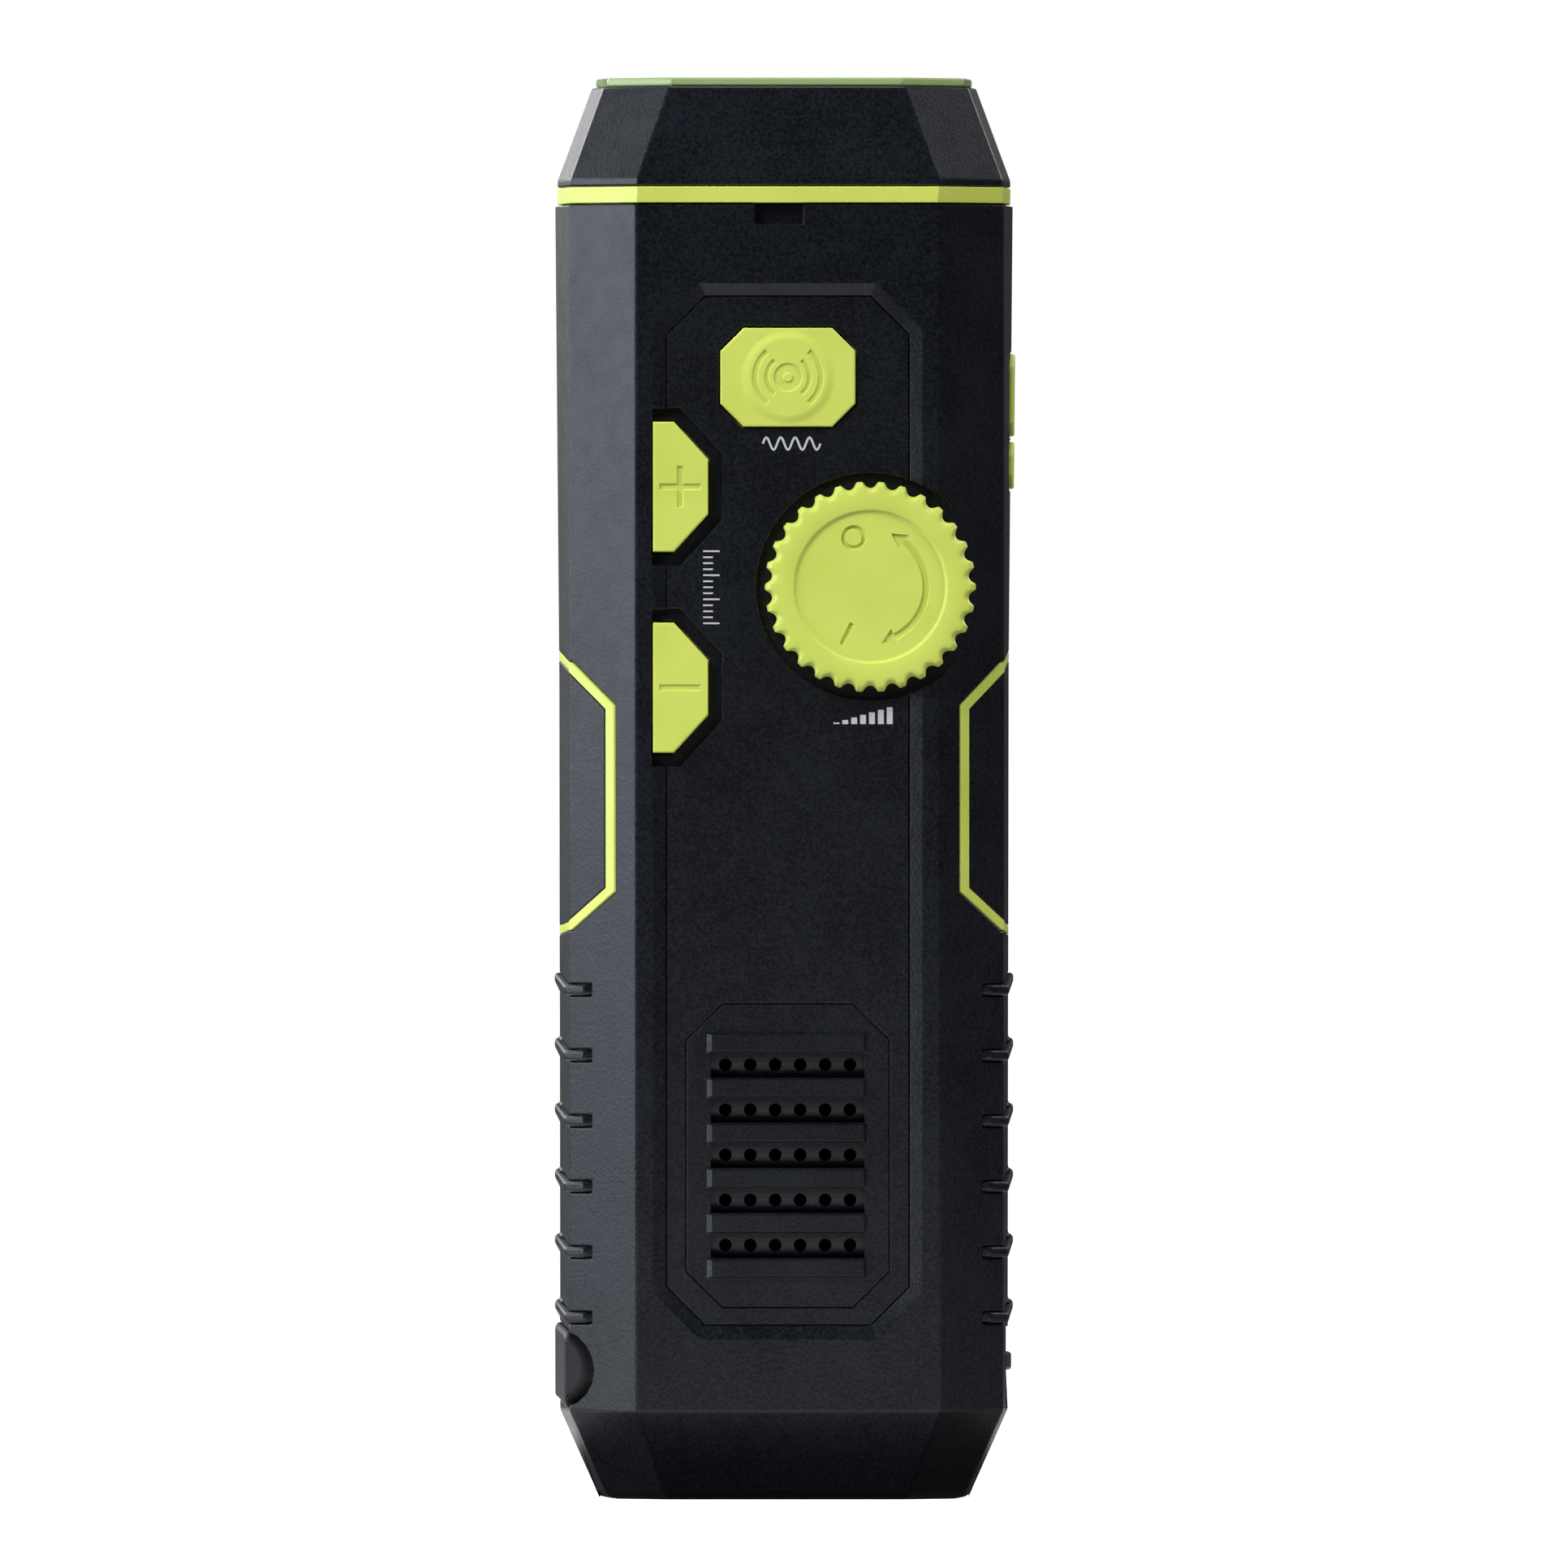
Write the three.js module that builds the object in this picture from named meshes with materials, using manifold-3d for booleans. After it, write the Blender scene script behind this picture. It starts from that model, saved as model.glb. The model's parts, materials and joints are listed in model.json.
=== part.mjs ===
// Hand-held emergency radio with a torch, a siren and a wind-up dynamo.
// Millimetres. +Z runs up the body from the flat base to the torch lens.
// The controls face -Y, and the crank is on +Y.
import * as THREE from "three";
import { mergeVertices } from "three/addons/utils/BufferGeometryUtils.js";
import Module from "manifold-3d";

const wasm = await Module();
wasm.setup();

// ---------------------------------------------------------------- driving dimensions

// Body: an upright prism with eight facets, whose sides lean out to the parting plane at y = 0.
const FOOT_Z = 10.8; // top of the tapered foot
const BODY_TOP = 157.4; // top edge of the two shells
const DEPTH = 23; // from the parting plane to the front facet, and to the back one
const FACET = 18.5; // half the width of the front facet
const SHOULDER_X = 26.5; // outer edge of the corner facets
const SHOULDER_Y = 15;
const WALL = 2.2;
const FRONT_WALL = 3.4; // thicker, because the control panel is let into it
const PART_GAP = 0.05; // each shell stops this far from the parting plane

// Head
const RING_BOTTOM = 157.6;
const RING_TOP = 159.6;
const HEAD_BOTTOM = 159.7;
const HEAD_BAND = 160.5; // top of the upright band under the sloping facets
const HEAD_TOP = 171.8;
const LENS_TOP = 172.9;

// Control panel, let into a bevelled recess in the front facet
const FLOOR_Y = -21.4; // floor of the recess
const PANEL_FACE = -22.3;
const RECESS = { half: 16.4, bottom: 19.6, top: 147.9, corner: 5.6 };
const PANEL_INSET = 1.6; // width of the recess's bevel
const CLEAR = 0.1; // gap round each piece that is let in

// Controls
const SIREN = { z: 136.4, half: 8.2, tall: 6.0, corner: 2.8, face: -22.95, boss: 5.2, bossFace: -23.2 };
const TUNING = { left: -16.4, right: -9.7, shelf: -13.85, half: 7.9, flat: 3.35 };
const TUNING_UP_Z = 123.1;
const TUNING_DOWN_Z = 98.7;
const TUNING_MARGIN = 1.7; // bare recess floor left round each tuning button
const KNOB = { x: 10, z: 110.95, tip: 12.8, root: 12.15, pocket: 13.85, top: -25.2, bottom: -21.7 };
const KNOB_TEETH = 30;
const BUTTON_GAP = 0.25;

// Speaker grille
const GRILLE = { half: 12.3, bottom: 23.45, top: 60.25, corner: 4.4 };
const GRILLE_FACE = -22.35;
const SLAT_PITCH = 5.48;
const SLOT_HALF = 9.35;
const SLOT_TALL = 3.0;
const HOLE_PITCH = 3.03;
const HOLE_R = 0.78;

// Sides
const TRIM_HALF = 0.5; // half the width of the lime outline
const SIDE_SEAT = 1.3; // depth of the seat that holds the outline and its pad
const RIBS = 6;
const RIB_TOP = 61.95;
const RIB_PITCH = 7.97;
const RIB_HALF = 0.65;
const RIB_RISE = 1.4; // each rib climbs this much to the parting plane
const RIB_END = 17.5; // how far round the body the ribs reach
// The rubber cover over the charging port. Its middle line climbs towards the back.
const PORT = { z: 15.7, half: 4.5, front: -17.5, back: 6.9, climb: 0.06 };
const POCKET = { y0: -9.9, y1: 3.9, half: 3.7, floor: -25 }; // the pocket under that cover
const USB = { y: -3, z: 16.6, wide: 13.2, tall: 5.7, deep: 13 };
const ANCHOR = { y0: 7.4, y1: 11, z: 17.3, half: 2.2 }; // the fixed end of the cover's strap
const STRAP = { bottom: 11, top: 20.9, bar: 15.6, barTop: 17.8, reach: 7, floor: 20.2 };
const TORCH_BUTTON = { bottom: 129.3, top: 139.5 };
const FLASH_BUTTON = { bottom: 122.9, top: 128.8 };

// Crank and dynamo
const CRANK = { x: 0, z: 104 };
const POCKET_R = 37; // round pocket in the back, in which the crank turns
const DECK_Y = 14.5; // floor of that pocket
const ARM = { under: 15.1, face: 22.4, half: 6.5, end: 68.5, hub: 7 };
const FORK = { half: 4.4, bottom: 71.2, top: 96.9 }; // slot in the arm that takes the folded knob
const HINGE = { y: 19, z: 75 }; // where the finger knob folds out of the arm
const GRIP = { r: 4, bottom: 79, top: 95.3 }; // the finger knob, folded
// Two gear pairs, each at an angle from the axle before it, and y of each pair's front and back.
const FIRST = { module: 1, wheel: 38, pinion: 12, angle: 71.3, front: 8, back: 11.5 };
const SECOND = { module: 0.7, wheel: 34, pinion: 12, angle: 165.7, front: 3.2, back: 6 };
const PLATE = { front: 1.2, back: 2.6 }; // plate that carries the front ends of the axles
const DYNAMO = { r: 12, front: -10, back: 1 };
const UPPER_SCREW = { x: 12.5, z: 146.5 };
const LOWER_SCREW = { x: 13.5, z: 64.5 };

// Inside
const BOARD = { front: -14, back: -12.4, half: 21.5, bottom: 69.5, top: 142.5 };
const SPEAKER = { z: (GRILLE.bottom + GRILLE.top) / 2, r: 18, front: -19.3 };
const CELL_R = 5.25;
const CELL_LENGTH = 44.5;

// ---------------------------------------------------------------- materials

function material(color, roughness, metalness = 0) {
  return new THREE.MeshStandardMaterial({ color, roughness, metalness });
}

const BLACK = material(0x1b1d22, 0.55);
const LIME = material(0xc6d45f, 0.45);
const RUBBER = material(0x1d1d20, 0.85);
const GREY_PLASTIC = material(0x3a3c40, 0.6);
const WHITE_NYLON = material(0xd8d6cc, 0.5);
const STEEL = material(0xb4b6b8, 0.35, 1);
const BRASS = material(0xb79552, 0.35, 1);
const COPPER = material(0xa8623a, 0.4, 1);
const CHROME = material(0xe8e8ea, 0.08, 1);
const BOARD_GREEN = material(0x1f5a36, 0.5);
const PAPER = material(0x24221f, 0.9);
const FERRITE = material(0x33302e, 0.7);
const CELL_WRAP = material(0x2b5fa8, 0.45);
const CLEAR_GREEN = new THREE.MeshStandardMaterial({
  color: 0xa9c98a,
  roughness: 0.1,
  transparent: true,
  opacity: 0.45,
});

// ---------------------------------------------------------------- solids and outlines

// The solid inside a closed geometry.
function solid(geometry) {
  const bare = new THREE.BufferGeometry();
  bare.setAttribute("position", geometry.getAttribute("position"));
  if (geometry.index) bare.setIndex(geometry.index);
  const merged = mergeVertices(bare, 1e-4);
  const triVerts = [];
  for (let i = 0; i < merged.index.count; i += 3) {
    const [a, b, c] = merged.index.array.slice(i, i + 3);
    if (a !== b && b !== c && c !== a) triVerts.push(a, b, c);
  }
  const vertProperties = merged.getAttribute("position").array;
  const mesh = new wasm.Mesh({ numProp: 3, vertProperties, triVerts: new Uint32Array(triVerts) });
  return new wasm.Manifold(mesh);
}

function geometryOf(body) {
  const made = body.getMesh();
  const geometry = new THREE.BufferGeometry();
  geometry.setAttribute("position", new THREE.BufferAttribute(made.vertProperties, 3));
  geometry.setIndex(new THREE.BufferAttribute(made.triVerts, 1));
  return geometry;
}

// A face drawn as [u, v] points becomes a solid along w. These turn (u, v, w) into the part's axes.
const ALONG_Y = new THREE.Matrix4().makeRotationX(Math.PI / 2); // u to x, v to z, w to -y
// u to y, v to z, w to x
const ALONG_X = new THREE.Matrix4().set(0, 0, 1, 0, 1, 0, 0, 0, 0, 1, 0, 0, 0, 0, 0, 1);

function extruded(outline, length) {
  const shape = new THREE.Shape(outline.map(([u, v]) => new THREE.Vector2(u, v)));
  return new THREE.ExtrudeGeometry(shape, { depth: length, bevelEnabled: false });
}

const prismY = (outline, y0, y1) =>
  solid(extruded(outline, y1 - y0).applyMatrix4(ALONG_Y).translate(0, y1, 0));
const prismX = (outline, x0, x1) =>
  solid(extruded(outline, x1 - x0).applyMatrix4(ALONG_X).translate(x0, 0, 0));
const prismZ = (outline, z0, z1) => solid(extruded(outline, z1 - z0).translate(0, 0, z0));

// A closed body through outlines with the same number of points, at rising heights w. Each outline is convex.
function loft(levels) {
  const count = levels[0].outline.length;
  const positions = levels.flatMap(({ w, outline }) => outline.flatMap(([u, v]) => [u, v, w]));
  const faces = [];
  for (let level = 0; level < levels.length - 1; level++) {
    for (let i = 0; i < count; i++) {
      const a = level * count + i;
      const b = level * count + ((i + 1) % count);
      faces.push(a, b, b + count, a, b + count, a + count);
    }
  }
  const last = (levels.length - 1) * count;
  for (let i = 1; i < count - 1; i++) faces.push(0, i + 1, i, last, last + i, last + i + 1);
  const geometry = new THREE.BufferGeometry();
  geometry.setAttribute("position", new THREE.Float32BufferAttribute(positions, 3));
  geometry.setIndex(faces);
  return geometry;
}

// A loft whose outlines lie in x and z, listed from the back (largest y) to the front.
const loftY = (levels) =>
  solid(loft(levels.map(({ y, outline }) => ({ w: -y, outline }))).applyMatrix4(ALONG_Y));

function rod(r, length, segments) {
  return new THREE.CylinderGeometry(r, r, length, segments);
}
const rodY = (x, z, r, y0, y1, segments = 24) =>
  solid(rod(r, y1 - y0, segments).translate(x, (y0 + y1) / 2, z));
const rodX = (y, z, r, x0, x1, segments = 20) =>
  solid(rod(r, x1 - x0, segments).rotateZ(Math.PI / 2).translate((x0 + x1) / 2, y, z));
const rodZ = (x, y, r, z0, z1, segments = 24) =>
  solid(rod(r, z1 - z0, segments).rotateX(Math.PI / 2).translate(x, y, (z0 + z1) / 2));

function block(x0, x1, y0, y1, z0, z1) {
  const box = new THREE.BoxGeometry(x1 - x0, y1 - y0, z1 - z0);
  return solid(box.translate((x0 + x1) / 2, (y0 + y1) / 2, (z0 + z1) / 2));
}

// A turned geometry about Y, from a closed profile of [radius, y] points that climbs its outer side.
function turned(profile, segments) {
  const points = [...profile, profile[0]].map(([r, y]) => new THREE.Vector2(r, y));
  return new THREE.LatheGeometry(points, segments);
}
const turnedY = (x, z, profile, segments = 28) => solid(turned(profile, segments).translate(x, 0, z));
const turnedZ = (profile, segments = 32) => solid(turned(profile, segments).rotateX(Math.PI / 2));

const joined = (bodies) => bodies.reduce((whole, body) => whole.add(body));

// A rectangle with its corners cut at 45 degrees.
function octagon(left, right, bottom, top, cut) {
  return [
    [left + cut, bottom],
    [right - cut, bottom],
    [right, bottom + cut],
    [right, top - cut],
    [right - cut, top],
    [left + cut, top],
    [left, top - cut],
    [left, bottom + cut],
  ];
}

const rectangle = (left, right, bottom, top) => [
  [left, bottom],
  [right, bottom],
  [right, top],
  [left, top],
];

function arc(cu, cv, r, from, to, steps) {
  const points = [];
  for (let i = 0; i <= steps; i++) {
    const a = ((from + ((to - from) * i) / steps) * Math.PI) / 180;
    points.push([cu + r * Math.cos(a), cv + r * Math.sin(a)]);
  }
  return points;
}

const stadium = (left, right, centre, r) => [
  ...arc(right - r, centre, r, -90, 90, 10),
  ...arc(left + r, centre, r, 90, 270, 10),
];

// A convex outline with every edge moved out by a distance.
function grown(outline, distance) {
  const count = outline.length;
  return outline.map((point, i) => {
    const before = outline[(i + count - 1) % count];
    const after = outline[(i + 1) % count];
    const first = new THREE.Vector2(point[1] - before[1], before[0] - point[0]).normalize();
    const second = new THREE.Vector2(after[1] - point[1], point[0] - after[0]).normalize();
    const reach = distance / (1 + first.dot(second));
    return [point[0] + (first.x + second.x) * reach, point[1] + (first.y + second.y) * reach];
  });
}

// ---------------------------------------------------------------- sections of the body and the head

// Half sizes of one section: at the parting plane, at the corner facets' outer edge, and at the front.
function section(z, wide, shoulderX, shoulderY, facet, depth) {
  return { z, wide, shoulderX, shoulderY, facet, depth };
}

const BODY_SECTIONS = [
  section(0, 22.5, 21.6, 11.4, 14.6, 18.4),
  section(FOOT_Z, 27.3, SHOULDER_X - 0.1, SHOULDER_Y, FACET, DEPTH),
  section(100, 27.4, SHOULDER_X, SHOULDER_Y, FACET, DEPTH),
  section(BODY_TOP, 27.9, SHOULDER_X, SHOULDER_Y, FACET, DEPTH),
];
const HEAD_SECTIONS = [
  section(HEAD_BOTTOM, 27.6, 26.3, 14.8, 18.3, 22.8),
  section(HEAD_BAND, 27.6, 26.3, 14.8, 18.3, 22.8),
  section(HEAD_TOP, 23.4, 22.2, 10.8, 14.3, 18.7),
];

const DIAGONAL = Math.tan(Math.PI / 8); // how far a 45 degree corner slides along its facet per unit of inset

const inset = (s, t) => ({
  z: s.z,
  wide: s.wide - t,
  shoulderX: s.shoulderX - t,
  shoulderY: s.shoulderY - t * DIAGONAL,
  facet: s.facet - t * DIAGONAL,
  depth: s.depth - t,
});

const ring = ({ wide, shoulderX, shoulderY, facet, depth }) => [
  [-facet, -depth],
  [facet, -depth],
  [shoulderX, -shoulderY],
  [wide, 0],
  [shoulderX, shoulderY],
  [facet, depth],
  [-facet, depth],
  [-shoulderX, shoulderY],
  [-wide, 0],
  [-shoulderX, -shoulderY],
];

// The section at any height, between the two listed ones. Above the last it stays the same.
function sectionAt(sections, z) {
  const found = sections.findIndex((s) => s.z >= z);
  const upper = found < 0 ? sections.length - 1 : Math.max(1, found);
  const [a, b] = [sections[upper - 1], sections[upper]];
  const share = Math.min(1, (z - a.z) / (b.z - a.z));
  const between = ["wide", "shoulderX", "shoulderY", "facet", "depth"].map(
    (key) => a[key] + (b[key] - a[key]) * share,
  );
  return section(z, ...between);
}

const sectionLoft = (sections) => solid(loft(sections.map((s) => ({ w: s.z, outline: ring(s) }))));
const bodyInset = (t) => sectionLoft(BODY_SECTIONS.map((s) => inset(s, t)));
// The layer of the body between two depths under its surface. A negative depth stands proud.
const skin = (from, to) => bodyInset(from).subtract(bodyInset(to));

// A cavity section, moved in on every side, and further in at the front by the thick front wall.
function hollow(s, t) {
  const inner = inset(s, t);
  const front = inner.depth - (FRONT_WALL - WALL);
  const frontFacet = inner.facet + (FRONT_WALL - WALL);
  return ring(inner).map(([x, y], i) => (i < 2 ? [Math.sign(x) * frontFacet, -front] : [x, y]));
}

const hollowLoft = (levels, t) =>
  solid(loft(levels.map((z) => ({ w: z, outline: hollow(sectionAt(BODY_SECTIONS, z), t) }))));

// ---------------------------------------------------------------- outlines of the let-in pieces

const recessFloor = octagon(
  -RECESS.half + PANEL_INSET,
  RECESS.half - PANEL_INSET,
  RECESS.bottom + PANEL_INSET,
  RECESS.top - PANEL_INSET,
  RECESS.corner - PANEL_INSET * 0.55,
);
const sirenOutline = octagon(
  -SIREN.half,
  SIREN.half,
  SIREN.z - SIREN.tall,
  SIREN.z + SIREN.tall,
  SIREN.corner,
);
const grilleOutline = octagon(-GRILLE.half, GRILLE.half, GRILLE.bottom, GRILLE.top, GRILLE.corner);
const tuningOutline = (z) => [
  [TUNING.left, z - TUNING.half],
  [TUNING.shelf, z - TUNING.half],
  [TUNING.right, z - TUNING.flat],
  [TUNING.right, z + TUNING.flat],
  [TUNING.shelf, z + TUNING.half],
  [TUNING.left, z + TUNING.half],
];
// The bare floor round a tuning button. Its straight side stays on the recess's outer edge.
const tuningBay = (z) =>
  grown(tuningOutline(z), TUNING_MARGIN).map(([x, v]) => [Math.max(x, TUNING.left - CLEAR), v]);

const knobCircle = (r) => arc(KNOB.x, KNOB.z, r, 0, 352.5, 47);

// Centre line of the lime outline on each side, in y and z. It wraps on to the front corner facet.
const trimLine = [
  [-19.85, 74.15],
  [-SHOULDER_Y, 69.75],
  [0, 69.2],
  [8.5, 69.5],
  [11.5, 72.5],
  [11.5, 98.9],
  [8.5, 101.9],
  [0, 102.6],
  [-SHOULDER_Y, 101.3],
  [-19.85, 96.3],
];

function ribOutline(index, spare) {
  const z = RIB_TOP - index * RIB_PITCH;
  const low = z - RIB_HALF - spare;
  const high = z + RIB_HALF + spare;
  const end = RIB_END + spare;
  return [
    [-end, low],
    [-SHOULDER_Y, low],
    [0, low + RIB_RISE],
    [SHOULDER_Y, low],
    [end, low],
    [end, high],
    [SHOULDER_Y, high],
    [0, high + RIB_RISE],
    [-SHOULDER_Y, high],
    [-end, high],
  ];
}

const SPINE_HALF = 3.2; // strip that joins the ribs of one side
const spineOutline = (spare) =>
  rectangle(-SPINE_HALF - spare, SPINE_HALF + spare, RIB_TOP - 5 * RIB_PITCH + 0.9 - spare, RIB_TOP + 0.9);
const ribIndexes = Array.from({ length: RIBS }, (_, index) => index);

const portOutline = (spare) =>
  stadium(PORT.front - spare, PORT.back + spare, PORT.z, PORT.half + spare).map(([y, z]) => [
    y,
    z + PORT.climb * (y - PORT.front),
  ]);
const anchorOutline = (spare) =>
  rectangle(
    ANCHOR.y0 - spare,
    ANCHOR.y1 + spare,
    ANCHOR.z - ANCHOR.half - spare,
    ANCHOR.z + ANCHOR.half + spare,
  );
// The bow that a wrist strap loops round, in x and y.
const bowOutline = (spare) => [
  [25.3 - spare, -8.8 - spare],
  [25.3 + spare, -8.8 - spare],
  [27, -6.3 - spare],
  [27.65 + spare, -2.5],
  [27.65 + spare, 2.5],
  [27, 6.3 + spare],
  [25.3 + spare, 8.8 + spare],
  [23.5 - spare, 8.8 + spare],
  [23.5 - spare, 8.2 - spare],
  [25.45 - spare, 5.2],
  [25.45 - spare, -5.2],
  [23.5 - spare, -8.2 + spare],
  [23.5 - spare, -8.8 - spare],
];
const sideButton = ({ bottom, top }, spare) =>
  octagon(-4.2 - spare, 4.2 + spare, bottom + 0.1 - spare, top - 0.1 + spare, 1.6);

// ---------------------------------------------------------------- housing shells

const SCREWS = [
  [-UPPER_SCREW.x, UPPER_SCREW.z],
  [UPPER_SCREW.x, UPPER_SCREW.z],
  [-LOWER_SCREW.x, LOWER_SCREW.z],
  [LOWER_SCREW.x, LOWER_SCREW.z],
];
const SCREW_SEAT = 17.4; // y of the counterbores' floor
const PLATE_LEGS = [
  [-16.5, 88],
  [16.5, 88],
  [-20.2, 119],
  [20.6, 115.5],
  [1.5, 141],
];
const BOARD_LEGS = [
  [-17.5, 73],
  [17.5, 73],
  [-17, 139],
  [17, 139],
];

const reach = (centre, angle, distance) => ({
  x: centre.x + distance * Math.cos((angle * Math.PI) / 180),
  z: centre.z + distance * Math.sin((angle * Math.PI) / 180),
});
const IDLER = reach(CRANK, FIRST.angle, (FIRST.module * (FIRST.wheel + FIRST.pinion)) / 2);
const ROTOR = reach(IDLER, SECOND.angle, (SECOND.module * (SECOND.wheel + SECOND.pinion)) / 2);

// Posts, legs and socket walls that stand inside the shells.
function insideWork() {
  const posts = SCREWS.flatMap(([x, z]) => [
    rodY(x, z, 3, -20, 1, 20),
    rodY(x, z, 3.2, 0, 15, 20),
    rodY(x, z, 4.4, 14, 21.5, 20),
  ]);
  const plateLegs = PLATE_LEGS.flatMap(([x, z]) => [
    rodY(x, z, 1.6, PLATE.back + 0.1, 13, 12),
    rodY(x, z, 0.9, PLATE.front - 0.3, PLATE.back + 1, 8),
  ]);
  const boardLegs = BOARD_LEGS.map(([x, z]) => rodY(x, z, 1.8, -20, BOARD.front - 0.1, 12));
  return joined([
    ...posts,
    ...plateLegs,
    ...boardLegs,
    rodY(IDLER.x, IDLER.z, 2.6, 11.9, 13, 16),
    block(-25.5, POCKET.floor + 1.2, POCKET.y0 - 2.1, POCKET.y1 + 2.3, 9.8, 22.8),
    block(STRAP.floor - 1.2, 25.5, -10.2, 10.2, STRAP.bottom - 1.2, STRAP.top + 1.2),
  ]);
}

function housingBlock() {
  const deckWall = rodY(CRANK.x, CRANK.z, POCKET_R + WALL, DECK_Y - WALL, DEPTH + 1, 72);
  const cavity = hollowLoft([2.6, FOOT_Z, 100, BODY_TOP, BODY_TOP + 1], WALL);
  return bodyInset(0).subtract(cavity.subtract(deckWall)).add(insideWork().intersect(bodyInset(1)));
}

// The front facet's bevelled recess, knob pocket, tuning bays, and the holes behind each control.
function frontCuts() {
  const spread = 0.2; // how much wider the cutter is just in front of the facet
  const recess = loftY([
    { y: FLOOR_Y, outline: recessFloor },
    { y: PANEL_FACE + 0.05, outline: recessFloor },
    { y: -DEPTH - spread / 2, outline: grown(recessFloor, PANEL_INSET + spread) },
    { y: -DEPTH - 1, outline: grown(recessFloor, PANEL_INSET + 2 * spread) },
  ]);
  const through = (outline) => prismY(outline, -DEPTH - 1, -DEPTH + FRONT_WALL + 1);
  return joined([
    recess,
    prismY(knobCircle(KNOB.pocket), -DEPTH - 1, FLOOR_Y),
    prismY(tuningBay(TUNING_UP_Z), -DEPTH - 1, FLOOR_Y),
    prismY(tuningBay(TUNING_DOWN_Z), -DEPTH - 1, FLOOR_Y),
    through(grown(sirenOutline, BUTTON_GAP)),
    through(grown(tuningOutline(TUNING_UP_Z), BUTTON_GAP)),
    through(grown(tuningOutline(TUNING_DOWN_Z), BUTTON_GAP)),
    rodY(KNOB.x, KNOB.z, 3.7, -DEPTH - 1, -18),
    through(rectangle(-10.5, 10.5, GRILLE.bottom + 3, GRILLE.top - 3)),
    block(-4, 1.9, -DEPTH - 1, -DEPTH + 1.6, BODY_TOP - 2.4, BODY_TOP + 1),
  ]);
}

const bothSides = (outline) => prismX(outline, -40, -18).add(prismX(outline, 18, 40));

function sideCuts() {
  const seat = skin(-1, SIDE_SEAT).intersect(bothSides(grown(trimLine, TRIM_HALF + CLEAR)));
  const ribSeats = ribIndexes.map((index) => bothSides(ribOutline(index, CLEAR)));
  const grips = skin(-1, 1.1).intersect(joined([bothSides(spineOutline(CLEAR)), ...ribSeats]));
  const portSeat = skin(-1, 1.3).intersect(
    prismX(portOutline(0.3), -40, -20).add(prismX(anchorOutline(0.25), -40, -20)),
  );
  const pocket = rectangle(POCKET.y0, POCKET.y1, USB.z - POCKET.half, USB.z + POCKET.half);
  const halfWide = USB.wide / 2 + 0.2;
  const halfTall = USB.tall / 2 + 0.25;
  const socket = rectangle(USB.y - halfWide, USB.y + halfWide, USB.z - halfTall, USB.z + halfTall);
  return joined([
    seat,
    grips,
    portSeat,
    prismX(pocket, -30, POCKET.floor),
    prismX(socket, POCKET.floor - 1, POCKET.floor + 2),
    block(STRAP.floor, 30, -STRAP.reach, STRAP.reach, STRAP.bottom, STRAP.top),
    prismZ(bowOutline(CLEAR), STRAP.bar - CLEAR, STRAP.barTop + CLEAR),
    prismX(sideButton(TORCH_BUTTON, BUTTON_GAP), 23, 30),
    prismX(sideButton(FLASH_BUTTON, BUTTON_GAP), 23, 30),
  ]);
}

function backCuts() {
  const screwHoles = SCREWS.flatMap(([x, z]) => [
    rodY(x, z, 3.1, SCREW_SEAT, DEPTH + 1, 20),
    rodY(x, z, 1.6, -0.5, SCREW_SEAT + 1, 12),
    rodY(x, z, 1.35, -13, 0, 12),
  ]);
  return joined([
    rodY(CRANK.x, CRANK.z, POCKET_R, DECK_Y, DEPTH + 2, 72),
    rodY(CRANK.x, CRANK.z, 4.95, DECK_Y - 4, DECK_Y + 1, 32),
    rodY(IDLER.x, IDLER.z, 1.35, 9, 12.7, 16),
    ...screwHoles,
  ]);
}

const housing = housingBlock().subtract(joined([frontCuts(), sideCuts(), backCuts()]));
// The front shell's base carries a tab that locates in a notch of the rear shell's.
const frontShell = () =>
  housing.intersect(block(-40, 40, -40, -PART_GAP, -5, 200).add(block(-5, 5, -1, 3, -5, 3)));
const rearShell = () =>
  housing.intersect(block(-40, 40, PART_GAP, 40, -5, 200)).subtract(block(-5.1, 5.1, -1, 3.1, -5, 3.1));

// Drawn with the underside of its head at y = 0.
function rearScrew() {
  const shank = rodY(0, 0, 1.25, -27.5, 0.1, 12);
  const head = rodY(0, 0, 2.8, 0, 2.1, 20);
  const slot = block(-1.7, 1.7, 0.9, 3, -0.35, 0.35);
  return shank.add(head).subtract(slot).subtract(block(-0.35, 0.35, 0.9, 3, -1.7, 1.7));
}

// ---------------------------------------------------------------- front pieces

function controlPanel() {
  const windows = joined([
    prismY(grown(sirenOutline, BUTTON_GAP), -30, 0),
    prismY(tuningBay(TUNING_UP_Z), -30, 0),
    prismY(tuningBay(TUNING_DOWN_Z), -30, 0),
    prismY(knobCircle(KNOB.pocket), -30, 0),
    prismY(grown(grilleOutline, CLEAR), -30, 0),
  ]);
  return prismY(grown(recessFloor, -CLEAR), PANEL_FACE, FLOOR_Y - 0.05).subtract(windows);
}

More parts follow.
